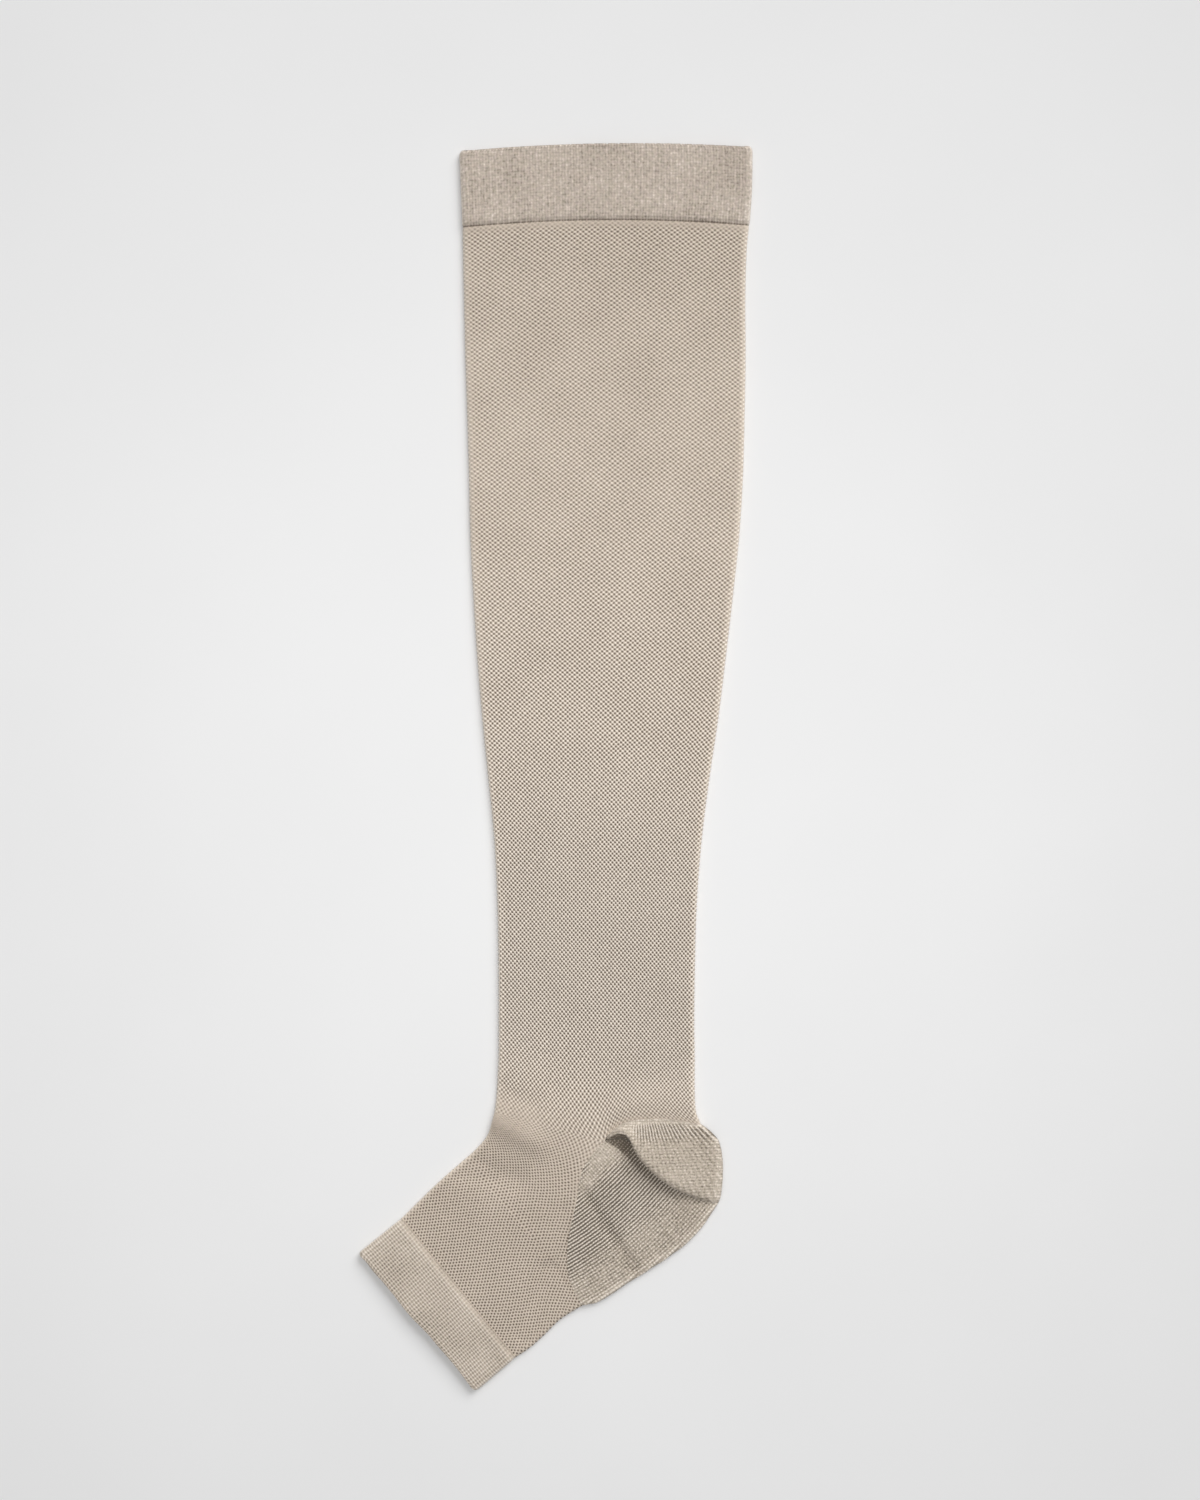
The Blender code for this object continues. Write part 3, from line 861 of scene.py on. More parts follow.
@dataclass(frozen=True)
class KnitFinish:
    """Nylon and elastane yarn, knitted in one stitch.

    The covered yarn is matt and slightly melange, so a stretch has one soft beige with fine
    lighter and darker flecks. Its ramp also paints the stitch's light and shade: loops that stand up
    are painted cream, their sides as lit and their tops as a painted highlight, and the gaps between
    them taupe, partly as painted shade.
    """

    name: str
    stitch: Stitch
    gap: str  # the colour of the gaps between stitches, darkened as painted shade
    ground: str  # the shade of most of the yarn
    lit: str  # the loops' sides, painted as lit
    crown: str  # the loops' tops: the yarn's cream with a painted highlight
    contrast: float  # how much of the way from gap to crown the stitch goes
    fleck: float  # how much the melange adds to it
    patch: float  # how much wide soft patches add to it
    lift: float  # how much lighter the yarn is where its stitch stands out
    depth: float  # the bump of the stitch, in millimetres
    rib: float = 0.0  # how far each rib stands out
    half_rib: float = 0.0  # and each of its two wales
    loops: float = 0.0  # and each course
    rows: float = 0.0  # what rows of dots gain when they are drawn apart
    dotted: float = 0.0  # how far a plain rib is broken into dots
    fleck_size: float = 0.67  # how long a fleck is, in millimetres
    ground_at: float = 0.38  # where the ground's shade lies between gap and crown
    lit_at: float = 0.68
    drift: float = 0.3  # how far the knit drifts, in stitches
    dye: float = 0.1  # how unevenly the dye takes
    roughness: float = 0.85
    specular: float = 0.25
    sheen: float = 0.3
    sheen_roughness: float = 0.4

    def pattern(self, tree: NodeTree, wale: Socket, course: Socket, strength: Socket) -> Socket:
        """The stitch's own height, from -1 in its gaps to 1 on its loops.

        Args:
            tree: The node tree.
            wale: How many wales have been counted.
            course: How many courses have been counted.
            strength: How strongly the stitch stands out.

        Returns:
            The height's socket.
        """
        if self.stitch is Stitch.BIRDSEYE:
            dots = math_node(tree, "MULTIPLY", wave(tree, wale), wave(tree, course))
            drawn = add(tree, "ShaderNodeAttribute", {"attribute_name": DRAWN}, {}).outputs["Fac"]
            drawn = math_node(tree, "MULTIPLY", drawn, self.rows)
            dots = math_node(tree, "MULTIPLY_ADD", wave(tree, course, 2.0), drawn, dots)
            return math_node(tree, "MULTIPLY", dots, strength)
        if self.stitch is Stitch.PLAIN:
            rib = math_node(tree, "MULTIPLY", wave(tree, wale), strength)
            dotted = math_node(tree, "MULTIPLY_ADD", wave(tree, course), self.dotted, 1.0 - self.dotted)
            rib = math_node(tree, "MULTIPLY", rib, dotted)
            return math_node(tree, "MULTIPLY_ADD", wave(tree, course), self.loops, rib)
        rib = math_node(tree, "MULTIPLY", wave(tree, wale), self.rib)
        wales = math_node(tree, "MULTIPLY_ADD", wave(tree, wale, 2.0), self.half_rib, rib)
        stitches = math_node(tree, "MULTIPLY_ADD", wave(tree, course), self.loops, wales)
        return math_node(tree, "MULTIPLY", stitches, strength)

    def material(self) -> bpy.types.Material:
        """The finish as a material.

        Returns:
            The material.
        """
        material = bpy.data.materials.new(self.name)
        material.use_nodes = True
        tree = material.node_tree
        shader = tree.nodes["Principled BSDF"]
        place = add(tree, "ShaderNodeTexCoord", {}, {}).outputs["Object"]
        knit = add(tree, "ShaderNodeUVMap", {"uv_map": KNIT}, {}).outputs["UV"]
        counts = add(tree, "ShaderNodeSeparateXYZ", {}, {0: knit}).outputs
        strength = add(tree, "ShaderNodeAttribute", {"attribute_name": STRENGTH}, {}).outputs["Fac"]
        tone = add(tree, "ShaderNodeAttribute", {"attribute_name": TONE_AND_PAINTED_LIGHT}, {}).outputs["Fac"]
        # The knit drifts a little, because no two loops are drawn equally tight
        drift = add(tree, "ShaderNodeTexNoise", {"Scale": DRIFT_SCALE, "Detail": 1.0}, {"Vector": place})
        drifts = add(tree, "ShaderNodeSeparateColor", {}, {0: drift.outputs["Color"]}).outputs
        wale = math_node(tree, "MULTIPLY_ADD", drifts[0], self.drift, counts[0])
        course = math_node(tree, "MULTIPLY_ADD", drifts[1], self.drift, counts[1])
        pattern = self.pattern(tree, wale, course, strength)
        # Melange flecks, each about as long as a loop of yarn
        scale = 1.0 / (self.fleck_size * MM)
        fleck = add(tree, "ShaderNodeTexNoise", {"Scale": scale, "Detail": 2.0}, {"Vector": place})
        patch = add(tree, "ShaderNodeTexNoise", {"Scale": PATCH_SCALE, "Detail": 2.0}, {"Vector": place})
        flecks = math_node(tree, "SUBTRACT", fleck.outputs["Fac"], 0.5)
        patches = math_node(tree, "SUBTRACT", patch.outputs["Fac"], 0.5)
        middle = math_node(tree, "MULTIPLY_ADD", strength, self.lift, 0.5 - self.lift)
        # The tone attribute adds the yarn's own tone, painted highlights and painted shade
        middle = math_node(tree, "ADD", middle, tone)
        shade = math_node(tree, "MULTIPLY_ADD", pattern, self.contrast / 2, middle)
        shade = math_node(tree, "MULTIPLY_ADD", flecks, self.fleck, shade)
        shade = math_node(tree, "MULTIPLY_ADD", patches, self.patch, shade)
        # The ramp runs from the gaps' painted shade, through the yarn, to the loops' painted highlight
        ramp_node = add(tree, "ShaderNodeValToRGB", {}, {0: shade})
        stops = ramp_node.color_ramp.elements
        stops[0].position, stops[0].color = 0.0, linear(self.gap)
        stops[1].position, stops[1].color = 1.0, linear(self.crown)
        for position, code in ((self.ground_at, self.ground), (self.lit_at, self.lit)):
            stops.new(position).color = linear(code)
        # The dye takes a little differently from fibre to fibre, warmer here and cooler there
        dyed = add(
            tree, "ShaderNodeMix", {"data_type": "RGBA", "blend_type": "SOFT_LIGHT", 0: self.dye},
            {6: ramp_node.outputs["Color"], 7: fleck.outputs["Color"]},
        )
        height = math_node(tree, "MULTIPLY_ADD", flecks, FLECK_RELIEF, pattern)
        bump = add(
            tree, "ShaderNodeBump", {"Strength": 1.0, "Distance": self.depth * MM}, {"Height": height}
        )
        tree.links.new(dyed.outputs[2], shader.inputs["Base Color"])
        tree.links.new(bump.outputs["Normal"], shader.inputs["Normal"])
        shader.inputs["Roughness"].default_value = self.roughness
        shader.inputs["Specular IOR Level"].default_value = self.specular
        shader.inputs["Sheen Weight"].default_value = self.sheen
        shader.inputs["Sheen Roughness"].default_value = self.sheen_roughness
        return material


# Matt cream dots, in staggered rows, on taupe
BIRDSEYE_TUCK = KnitFinish(
    "Bird's-eye tuck knit, nylon and elastane", Stitch.BIRDSEYE,
    gap="#6e6053", ground="#c1b3a4", lit="#d9cbbb", crown="#fff3e4",
    contrast=1.0, fleck=0.3, patch=0.14, lift=0.17, depth=0.15, rows=-0.3,
)
# Close, matt and even, with soft mottles that hide most of its ribs
TOP_WELT = KnitFinish(
    "Ribbed double welt, nylon and elastane", Stitch.WELT,
    gap="#877a6e", ground="#b8ab9e", lit="#c9bcaf", crown="#e6dbcf",
    contrast=0.75, fleck=1.3, patch=0.55, lift=-0.03, depth=0.08, rib=0.08, half_rib=0.2, loops=0.15,
    fleck_size=1.1,
)
# Crisper: narrow pale ribs with their loops showing
TOE_WELT = KnitFinish(
    "Narrow ribbed double welt, nylon and elastane", Stitch.WELT,
    gap="#776d61", ground="#c0b3a4", lit="#d2c5b6", crown="#ece2d5",
    contrast=1.0, fleck=0.6, patch=0.5, lift=0.0, depth=0.12, rib=0.46, half_rib=0.08, loops=0.38,
)
# Soft and matt, a little darker than the leg, with fine ribs that fade out over the heel
PLAIN_HEEL = KnitFinish(
    "Plain and ribbed heel knit, nylon and elastane", Stitch.PLAIN,
    gap="#6c6155", ground="#b1a596", lit="#c8bcad", crown="#efe4d6",
    contrast=1.1, fleck=1.3, patch=0.4, lift=0.0, depth=0.15, loops=0.2, dotted=0.22,
)


@dataclass(frozen=True)
class Steps:
    """How closely a face's grid is spaced."""

    row: float  # from one row to the next
    wale: float  # and from one column to the next, in wales


@dataclass
class Stretch:
    """A stretch of the stocking that has one stitch, as a wall of cloth."""

    name: str
    node: str
    slot: str
    finish: KnitFinish
    flat: tuple[float, float]  # its cut's width all round, and its length, in metres
    area: Optional[float] = None
    peak: float = 0.0  # how far its stitch stands off at most

    def face(self, is_fine: bool) -> Face:
        """The stretch's outer face, or its inner one.

        Args:
            is_fine: The outer face's close grid with its relief, and not the inner face's plain one.

        Returns:
            The face.
        """
        raise NotImplementedError

    def build(self) -> tuple[Array, list[Polygons], dict[str, Array]]:
        """The stretch's wall.

        Returns:
            Its points, its polygons and its attributes' values at each point.
        """
        outer, inner = self.face(True), self.face(False)
        outer_cells, outer_knit = outer.quads()
        inner_cells, inner_knit = inner.quads()
        normals = outer.normals(outer_cells)
        resting = self.peak * np.clip(-normals[:, 2], 0.0, 1.0)
        offset = outer.thickness.ravel() / 2 + outer.relief.ravel() - resting
        outer_points = outer.points.reshape(-1, 3) + normals * offset[:, None]
        inner_normals = inner.normals(inner_cells)
        inner_points = inner.points.reshape(-1, 3) - inner_normals * inner.thickness.reshape(-1, 1) / 2
        points = np.concatenate([outer_points, inner_points])
        shift = len(outer_points)
        groups = split_poles(outer_cells, outer_knit)
        groups += split_poles(inner_cells[:, ::-1] + shift, inner_knit[:, ::-1])
        knit = np.concatenate([outer.knit.reshape(-1, 2), inner.knit.reshape(-1, 2)])
        for outer_rim, inner_rim in zip(outer.rims(), inner.rims()):
            triangles = bridge(outer_rim, inner_rim + shift, points)
            groups.append(Polygons(triangles, knit[triangles], False))
        strength = np.concatenate([outer.strength.ravel(), inner.strength.ravel()])
        tone = np.concatenate([outer.tone.ravel(), inner.tone.ravel()])
        drawn = np.concatenate([outer.drawn.ravel(), inner.drawn.ravel()])
        return points, groups, {STRENGTH: strength, TONE_AND_PAINTED_LIGHT: tone, DRAWN: drawn}

    def dress(self, mesh: bpy.types.Mesh) -> bpy.types.Object:
        """The mesh as a finished piece, in place of its solid.

        Args:
            mesh: The stretch's mesh.

        Returns:
            The piece.
        """
        mesh.materials.append(self.finish.material())
        piece = bpy.data.objects.new(self.name, mesh)
        bpy.context.collection.objects.link(piece)
        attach(piece, "root")
        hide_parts(self.node)
        return piece


def birdseye(knit: Array, depth: float) -> Array:
    """The relief of dots in staggered rows."""
    return depth * np.cos(2 * np.pi * knit[..., 0]) * np.cos(2 * np.pi * knit[..., 1])


def welt_relief(knit: Array, depth: float) -> Array:
    """The relief of ribs, each of two wales, and of their loops."""
    wale, course = 2 * np.pi * knit[..., 0], 2 * np.pi * knit[..., 1]
    return depth * (0.3 * np.cos(wale) + 0.4 * np.cos(2 * wale) + 0.3 * np.cos(course))


def fold_fade(wales: Array) -> Array:
    """How much of its strength the stitch keeps at each wale, since it is drawn flat round a fold."""
    return 1.0 - 0.4 * bell(np.abs(wales) - FOLD_WALE, 1.2)


def fold_painted_highlight(wales: Array) -> Array:
    """How much lighter the yarn is painted at each wale: a painted highlight along a fold, where light comes
    through its fuzz.
    """
    return 0.45 * bell(np.abs(wales) - FOLD_WALE, 0.65)


def counts(rows: Array, columns: Array) -> Array:
    """Wales and courses over a grid."""
    return np.stack(np.meshgrid(columns, rows), axis=-1)


def rounded_edge(distance: Array) -> Array:
    """The share of its thickness that cloth has at a distance from its free edge."""
    share = np.clip(distance / EDGE_ROUND, 0.0, 1.0)
    return np.maximum(np.sqrt(1 - (1 - share) ** 2), LEAST_EDGE)


def corner_inset(distance: float, radius: float) -> float:
    """How far a round corner pulls in at a distance from the free edge."""
    share = min(max(1 - distance / radius, 0.0), 1.0)
    return radius * (1 - np.sqrt(1 - share**2))


@dataclass
class TopBand(Stretch):
    """The doubled welt at the top of the calf, from its looped edge down to its seam."""

    fine: Steps = Steps(BAND_COURSE / 3, 1 / 6)
    plain: Steps = Steps(2.5, 2.0)
    seam_width: float = 0.34
    seam_depth: float = 0.3
    seam_painted_shade: float = 0.5  # painted shade: how much darker the yarn is painted in the seam's groove
    loop_height: float = 0.36  # how far the looped edge goes in and out

    def face(self, is_fine: bool) -> Face:
        """The band's grid.

        Args:
            is_fine: The outer face's close grid, and not the inner face's plain one.

        Returns:
            The face.
        """
        length = float(BAND_TOP[0] - BAND_SEAM[0])
        grid = self.fine if is_fine else self.plain
        edge = np.linspace(0.0, EDGE_ROUND, EDGE_POINTS if is_fine else PLAIN_EDGE_POINTS)[:-1]
        depths = np.concatenate([edge, np.linspace(EDGE_ROUND, length, int(length / grid.row) + 1)])
        columns = np.arange(-WALES / 2, WALES / 2, grid.wale)
        rows, walls = [], []
        for depth in depths:
            wall = WALL + (WELT - WALL) * float(ease(np.array((length - depth) / WELT_SWELLS_OVER)))
            front, back, bow = BAND_SEAM + (BAND_TOP - BAND_SEAM) * (1 - depth / length)
            inset = corner_inset(depth, BAND_CORNER)
            line = leg_course(front, back, bow)
            width = float(np.linalg.norm(line(np.array(1.0)) - line(np.array(0.0))))
            course = (lambda share, line=line, cut=inset / width: line(cut + (1 - 2 * cut) * share))
            rows.append(ring(course, wall, columns))
            walls.append(wall)
        points = np.array(rows)
        knit = counts((length - depths) / BAND_COURSE, columns)
        if is_fine:
            loops = 0.5 + 0.5 * np.cos(4 * np.pi * columns)
            points[..., 1] += self.loop_height * bell(depths, EDGE_ROUND)[:, None] * (loops - 0.5)
        from_seam = (length - depths)[:, None] + 0.0 * columns
        by_edge = bell(depths[:, None], 0.9)
        wander = 0.12 * np.cos(4 * np.pi * columns)
        wander = wander + 0.16 * np.sin(columns / 2.3) * np.sin(columns / 7.1 + 1.0)
        seam = bell(from_seam - 0.15 - wander, self.seam_width)
        strength = 1.0 + (0.4 - 0.4 * columns / FOLD_WALE) * bell(from_seam, 4.5) + by_edge
        relief = welt_relief(knit, self.peak) * np.minimum(strength, 1.5) - self.seam_depth * seam
        thickness = (np.array(walls) * rounded_edge(depths))[:, None] + 0.0 * relief
        # Painted highlights at the folds, and painted shade in the seam's groove, a little darker away from
        # the middle
        tone = fold_painted_highlight(columns) - (self.seam_painted_shade + 0.08 * np.abs(columns) / FOLD_WALE) * seam
        return Face(points, knit, relief if is_fine else 0 * relief, thickness, strength, tone, 0 * tone)


@dataclass
class Leg(Stretch):
    """The tapered tube of bird's-eye knit, from the band's seam down to the ankle."""

    fine: Steps = Steps(0.5, 0.5)
    plain: Steps = Steps(3.5, 2.5)
    level_steps: int = 400  # heights at which the rows are counted
    seam_depth: float = 0.15
    seam_tone: float = 0.1  # how much lighter the yarn looks below the band's seam
    bend_corner: float = 0.2  # the share of the ankle's course that its bend's corner is rounded over

    def face(self, is_fine: bool) -> Face:
        """The leg's grid, whose fine points are the tops and gaps of its dots.

        Args:
            is_fine: The outer face's close grid, and not the inner face's plain one.

        Returns:
            The face.
        """
        grid = self.fine if is_fine else self.plain
        levels = np.linspace(BAND_SEAM[0], FRONT_ANKLE[1], self.level_steps)
        pitch = table_line(ROW_PITCHES)(levels)
        passed = np.concatenate([[0.0], np.cumsum(-np.diff(levels) / pitch[:-1])])
        passed *= LEG_ROWS / passed[-1]
        rows_wanted = np.arange(0.0, LEG_ROWS + 0.25, grid.row)
        rows_wanted = np.append(rows_wanted[rows_wanted < LEG_ROWS - 0.1], LEG_ROWS)
        columns = np.arange(-WALES / 2, WALES / 2, grid.wale)
        front_levels = np.interp(rows_wanted, passed, levels)
        points = np.array([self.course_points(level, columns) for level in front_levels])
        knit = counts(-rows_wanted, columns)
        strength = fold_fade(columns) * table_line(LEG_STRENGTH)(rows_wanted)[:, None]
        strength = strength * (0.3 + 0.7 * onset(rows_wanted, 0.6, over=1.6))[:, None]
        by_heel = onset(rows_wanted, 201.2, over=1.6)[:, None] * ease(-columns / 2.0)
        by_bend = onset(rows_wanted, 196.0, over=6.0)[:, None] * onset(columns, 10.0, over=8.0)
        strength = strength * (1.0 - 0.4 * by_heel) * (1.0 - 0.3 * by_bend)
        seam = bell(BAND_SEAM[0] - front_levels, 0.4)[:, None]
        to_edge = ease((LEG_ROWS - rows_wanted) / BORDER)[:, None]
        relief = birdseye(knit, self.peak) * np.minimum(strength, 1.3) * to_edge - self.seam_depth * seam
        # Painted highlights at the folds, and paler yarn below the band's seam
        tone = fold_painted_highlight(columns) + self.seam_tone * bell(rows_wanted[:, None], 1.1)
        tone = tone + table_line(LEG_TONE)(rows_wanted)[:, None]
        relief = relief if is_fine else 0 * relief
        return Face(points, knit, relief, WALL + 0 * relief, strength, tone, 0 * tone)

    def course_points(self, front_level: float, columns: Array) -> Array:
        """One course of the leg.

        Args:
            front_level: Its height at the front fold.
            columns: The wales wanted.

        Returns:
            A point for each wale.
        """
        share = (front_level - BAND_SEAM[0]) / (FRONT_ANKLE[1] - BAND_SEAM[0])
        back_level = BAND_SEAM[1] + (BACK_ANKLE[1] - BAND_SEAM[1]) * share
        bow = BAND_SEAM[2] * ramp(front_level, BOW_FADES_AT, BAND_SEAM[0])
        bend = ramp(front_level, ANKLE_BEGINS_AT, FRONT_ANKLE[1]) ** 2.0
        reach = self.bend_corner * np.sqrt(1.0 - bend)
        straight = leg_course(front_level, back_level, bow)
        front, back = np.array(FRONT_ANKLE), np.array(BACK_ANKLE)

        def course(at: Array) -> Array:
            """The course in plan, with its bend's corner rounded.

            Args:
                at: Shares of the way along it.

            Returns:
                A point for each share.
            """
            wide = np.minimum(reach, np.minimum(at, 1.0 - at))
            steps = [at + wide * step for step in (-1.0, -0.5, 0.0, 0.5, 1.0)]
            drop = sum(ankle_course(step) - between(front, back, step) for step in steps) / len(steps)
            return straight(at) + drop * bend

        return ring(course, WALL, columns)


@dataclass
class HeelFan:
    """The rays of the heel, which fan out from the pinch to its outline."""

    top: tuple = HEEL_TOP
    lip: tuple = LIP
    valley: tuple = VALLEY
    sole_edge: tuple = SOLE_EDGE
    ends: tuple = RAY_ENDS

    def __post_init__(self) -> None:
        """Makes the lines that the rays lie between."""
        lines = {0.0: self.top, LIP_RAY: self.lip, VALLEY_RAY: self.valley, LAST_RAY: self.sole_edge}
        self.keys = sorted(lines)
        self.lines = {key: through(points) for key, points in lines.items()}
        self.swell = table_line(SWELLS, 1)
        self.tuck = table_line(SWELLS, 2)
        self.hollow = table_line(HOLLOWS, 1)
        self.swell_along = table_line(SWELL_ALONG, 1)
        self.tuck_along = table_line(TUCK_ALONG, 1)

    def end(self, ray: float) -> Array:
        """Where a ray ends on the outline."""
        return smooth(np.arange(len(self.ends), dtype=float), np.array(self.ends), np.array(float(ray)))

    def bend(self, key: float, share: Array) -> Array:
        """How far a key line leaves the straight line between its ends.

        Args:
            key: The key line's ray.
            share: Shares of the way along it.

        Returns:
            An offset in plan for each share.
        """
        line = self.lines[key]
        first, last = line(np.array(0.0)), line(np.array(1.0))
        return line(share) - between(first, last, share)

    def lower(self, ray: float) -> Line:
        """A ray of the lower layer in plan.

        Args:
            ray: Its number.

        Returns:
            The ray.
        """
        before = max(key for key in self.keys if key <= ray)
        after = min(key for key in self.keys if key >= ray)
        blend = (ray - before) / (after - before) if after > before else 0.0
        start, end = np.array(PINCH), self.end(ray)

        def line(share: Array) -> Array:
            """The ray by share, bent as the key lines on both sides of it are."""
            bend = self.bend(before, share) * (1 - blend) + self.bend(after, share) * blend
            return between(start, end, share) + bend

        return line

    def upper(self, ray: float) -> Line:
        """A ray of the upper layer in plan, which is tucked in under the lip.

        Args:
            ray: Its number.

        Returns:
            The ray.
        """
        plain = self.lower(ray)
        if not LIP_RAY < ray < VALLEY_RAY:
            return plain
        lip, valley = self.lower(LIP_RAY), self.lower(VALLEY_RAY)
        even = ray - LIP_RAY

        def line(share: Array) -> Array:
            """The ray by share, from the lip's line towards the valley's."""
            tuck = even + (float(self.tuck(ray)) - even) * self.tuck_along(share)
            return lip(share) + (valley(share) - lip(share)) * tuck[..., None]

        return line

    def course(self, ray: float) -> HalfCourse:
        """A ray along the upper layer, round the outline, and back below.

        Args:
            ray: Its number.

        Returns:
            The half course.
        """
        upper, lower = self.upper(ray), self.lower(ray)

        def heights(share: Array) -> tuple[Array, Array]:
            """The two layers' heights by share, with the ray's swell and hollow.

            Args:
                share: Shares of the way along it.

            Returns:
                The heights of the upper layer and those of the lower one.
            """
            along = self.swell_along(share)
            top, bottom = layer_heights(upper(share), WALL, float(self.swell(ray)) * along)
            hollow = float(self.hollow(ray)) * along
            return np.maximum(top, bottom + hollow + WALL + LEAST_SLIT), bottom + hollow

        return half_course(lower, heights, WALL, upper)


@dataclass
class Heel(Stretch):
    """The turned heel and the sole's plain knit, with its deep crease."""

    ray_step: float = 0.33  # between the outer face's rays, near the outline
    plain_ray_step: float = 2.2  # and the inner one's
    ray_steps: tuple[int, int, int] = (150, 8, 60)  # along the upper layer, its fold and the lower one
    plain_ray_steps: tuple[int, int, int] = (24, 6, 24)
    guide_rays: int = 161  # between which the rays' spacing is measured
    guide_at: float = 0.8  # at this share of their length
    rim_painted_highlight: float = 0.2  # a painted highlight: how much lighter the yarn is painted at the outline
    top_tone: float = 0.16  # and below the ankle's seam
    line_painted_shade: float = 0.12  # painted shade: how much darker it is painted along the trough of the line across the sole

    def face(self, is_fine: bool) -> Face:
        """The heel's grid of rays, from the sole round to the ankle.

        Args:
            is_fine: The outer face's close grid, and not the inner face's plain one.

        Returns:
            The face.
        """
        fan = HeelFan()
        dense = np.linspace(LAST_RAY, 0.0, self.guide_rays)
        guide = np.array([fan.course(ray).points[int(LAYER_STEPS * self.guide_at)] for ray in dense])
        passed = np.concatenate([[0.0], np.cumsum(np.linalg.norm(np.diff(guide, axis=0), axis=1))])
        steps = int(passed[-1] / (self.ray_step if is_fine else self.plain_ray_step))
        rays = np.interp(np.linspace(0.0, passed[-1], steps + 1), passed, dense)
        upper, turn, lower = self.ray_steps if is_fine else self.plain_ray_steps
        courses = [fan.course(ray) for ray in rays]
        points = np.array([self.ray_points(course, upper, turn, lower) for course in courses])
        knit, strength = self.ribs(points, rays)
        lip = np.clip(np.abs(rays - LIP_RAY + 0.2) / 1.2 - 0.3, 0.0, 1.0)[:, None]
        relief = self.peak * np.minimum(strength, 1.1) * lip * np.cos(2 * np.pi * knit[..., 0])
        relief[0], relief[-1] = 0.0, 0.0
        along = np.arange(points.shape[1]) / upper
        # Painted shade in the crease under the lip
        in_crease = ease((rays - LIP_RAY + 0.15) / 0.35) * (1.0 - ease((rays - VALLEY_RAY + 0.2) / 1.3))
        is_upper = np.where(along <= 1.0, 1.0, 0.0)
        tone = in_crease[:, None] * table_line(CREASE_PAINTED_SHADE)(np.minimum(along, 1.0)) * is_upper
        # A painted highlight along the outline's fold
        tone = tone + self.rim_painted_highlight * bell(along - 1.0, 0.018)
        below_top = ease((LIP_RAY - 0.8 - rays) / 1.5)[:, None] * is_upper
        below_seam = np.linalg.norm(points - points[-1], axis=-1)
        tone = tone + self.top_tone * below_top * (1.0 - onset(below_seam, 3.0, over=6.0))
        # Painted shade along the trough of the line across the sole
        tone = tone - self.line_painted_shade * SOLE_LINE.reach(points[..., :2]) * is_upper
        relief = relief if is_fine else 0 * relief
        return Face(points, knit, relief, WALL + 0 * relief, strength, tone, 0 * tone, False, True)

    def ray_points(self, course: HalfCourse, upper: int, turn: int, lower: int) -> Array:
        """Points along a ray.

        Args:
            course: The ray.
            upper: How many steps its upper layer has.
            turn: How many steps its fold has.
            lower: How many steps its lower layer has.

        Returns:
            The points.
        """
        marks = (LAYER_STEPS, LAYER_STEPS + FOLD_STEPS, len(course.points) - 1)
        at = np.concatenate(
            [
                np.linspace(0.0, marks[0], upper + 1)[:-1],
                np.linspace(marks[0], marks[1], turn + 1)[:-1],
                np.linspace(marks[1], marks[2], lower + 1),
            ]
        )
        return sample(course.points, np.arange(len(course.points), dtype=float), at)

    def ribs(self, points: Array, rays: Array) -> tuple[Array, Array]:
        """Where the heel's ribs and loops are, and how strongly it is ribbed.

        Args:
            points: The heel's grid.
            rays: The ray of each row.

        Returns:
            Wales and courses, and the strength.
        """
        place, ray = points[..., :2], rays[:, None] + 0 * points[..., 0]
        from_top = place - TOP_RIB_CENTRE
        top_angle = np.arctan2(from_top[..., 0], -from_top[..., 1])
        top = np.stack([top_angle * TOP_RIB_RADIUS / TOP_RIB, from_top[..., 1] / HEEL_STITCH], -1)
        from_sole = place - SOLE_RIB_CENTRE
        distance = np.linalg.norm(from_sole, axis=-1)
        angle = np.arctan2(from_sole[..., 1], from_sole[..., 0])
        sole = np.stack([distance / SOLE_RIB, angle * SOLE_RIB_RADIUS / HEEL_STITCH], -1)
        is_top = ray < (LIP_RAY + VALLEY_RAY) / 2
        below_seam = np.linalg.norm(points - points[-1], axis=-1)
        fades = 0.15 + 0.95 * onset(below_seam, 1.6, over=1.8) - 0.88 * onset(below_seam, 6.0, over=5.0)
        by_lip = 0.3 * onset(ray, 4.6, over=1.0) * onset(place[..., 0], 36.0, over=10.0)
        from_pinch = np.linalg.norm(place - np.array(PINCH), axis=-1)
        by_pinch = 1.0 - onset(from_pinch, 6.0, over=7.0)
        outline = 1.5 - 0.9 * onset(place[..., 0] * 0.75 - place[..., 1], 180.0, over=14.0)
        outline = outline * (1.0 - 0.85 * GORE.reach(place)) * (1.0 - 0.7 * by_pinch)
        by_mouth = 1.0 - onset(from_pinch, 9.0, over=4.0)
        strength = np.where(is_top, np.maximum(fades, by_lip) * (1.0 - by_mouth), outline)
        return np.where(is_top[..., None], top, sole), strength


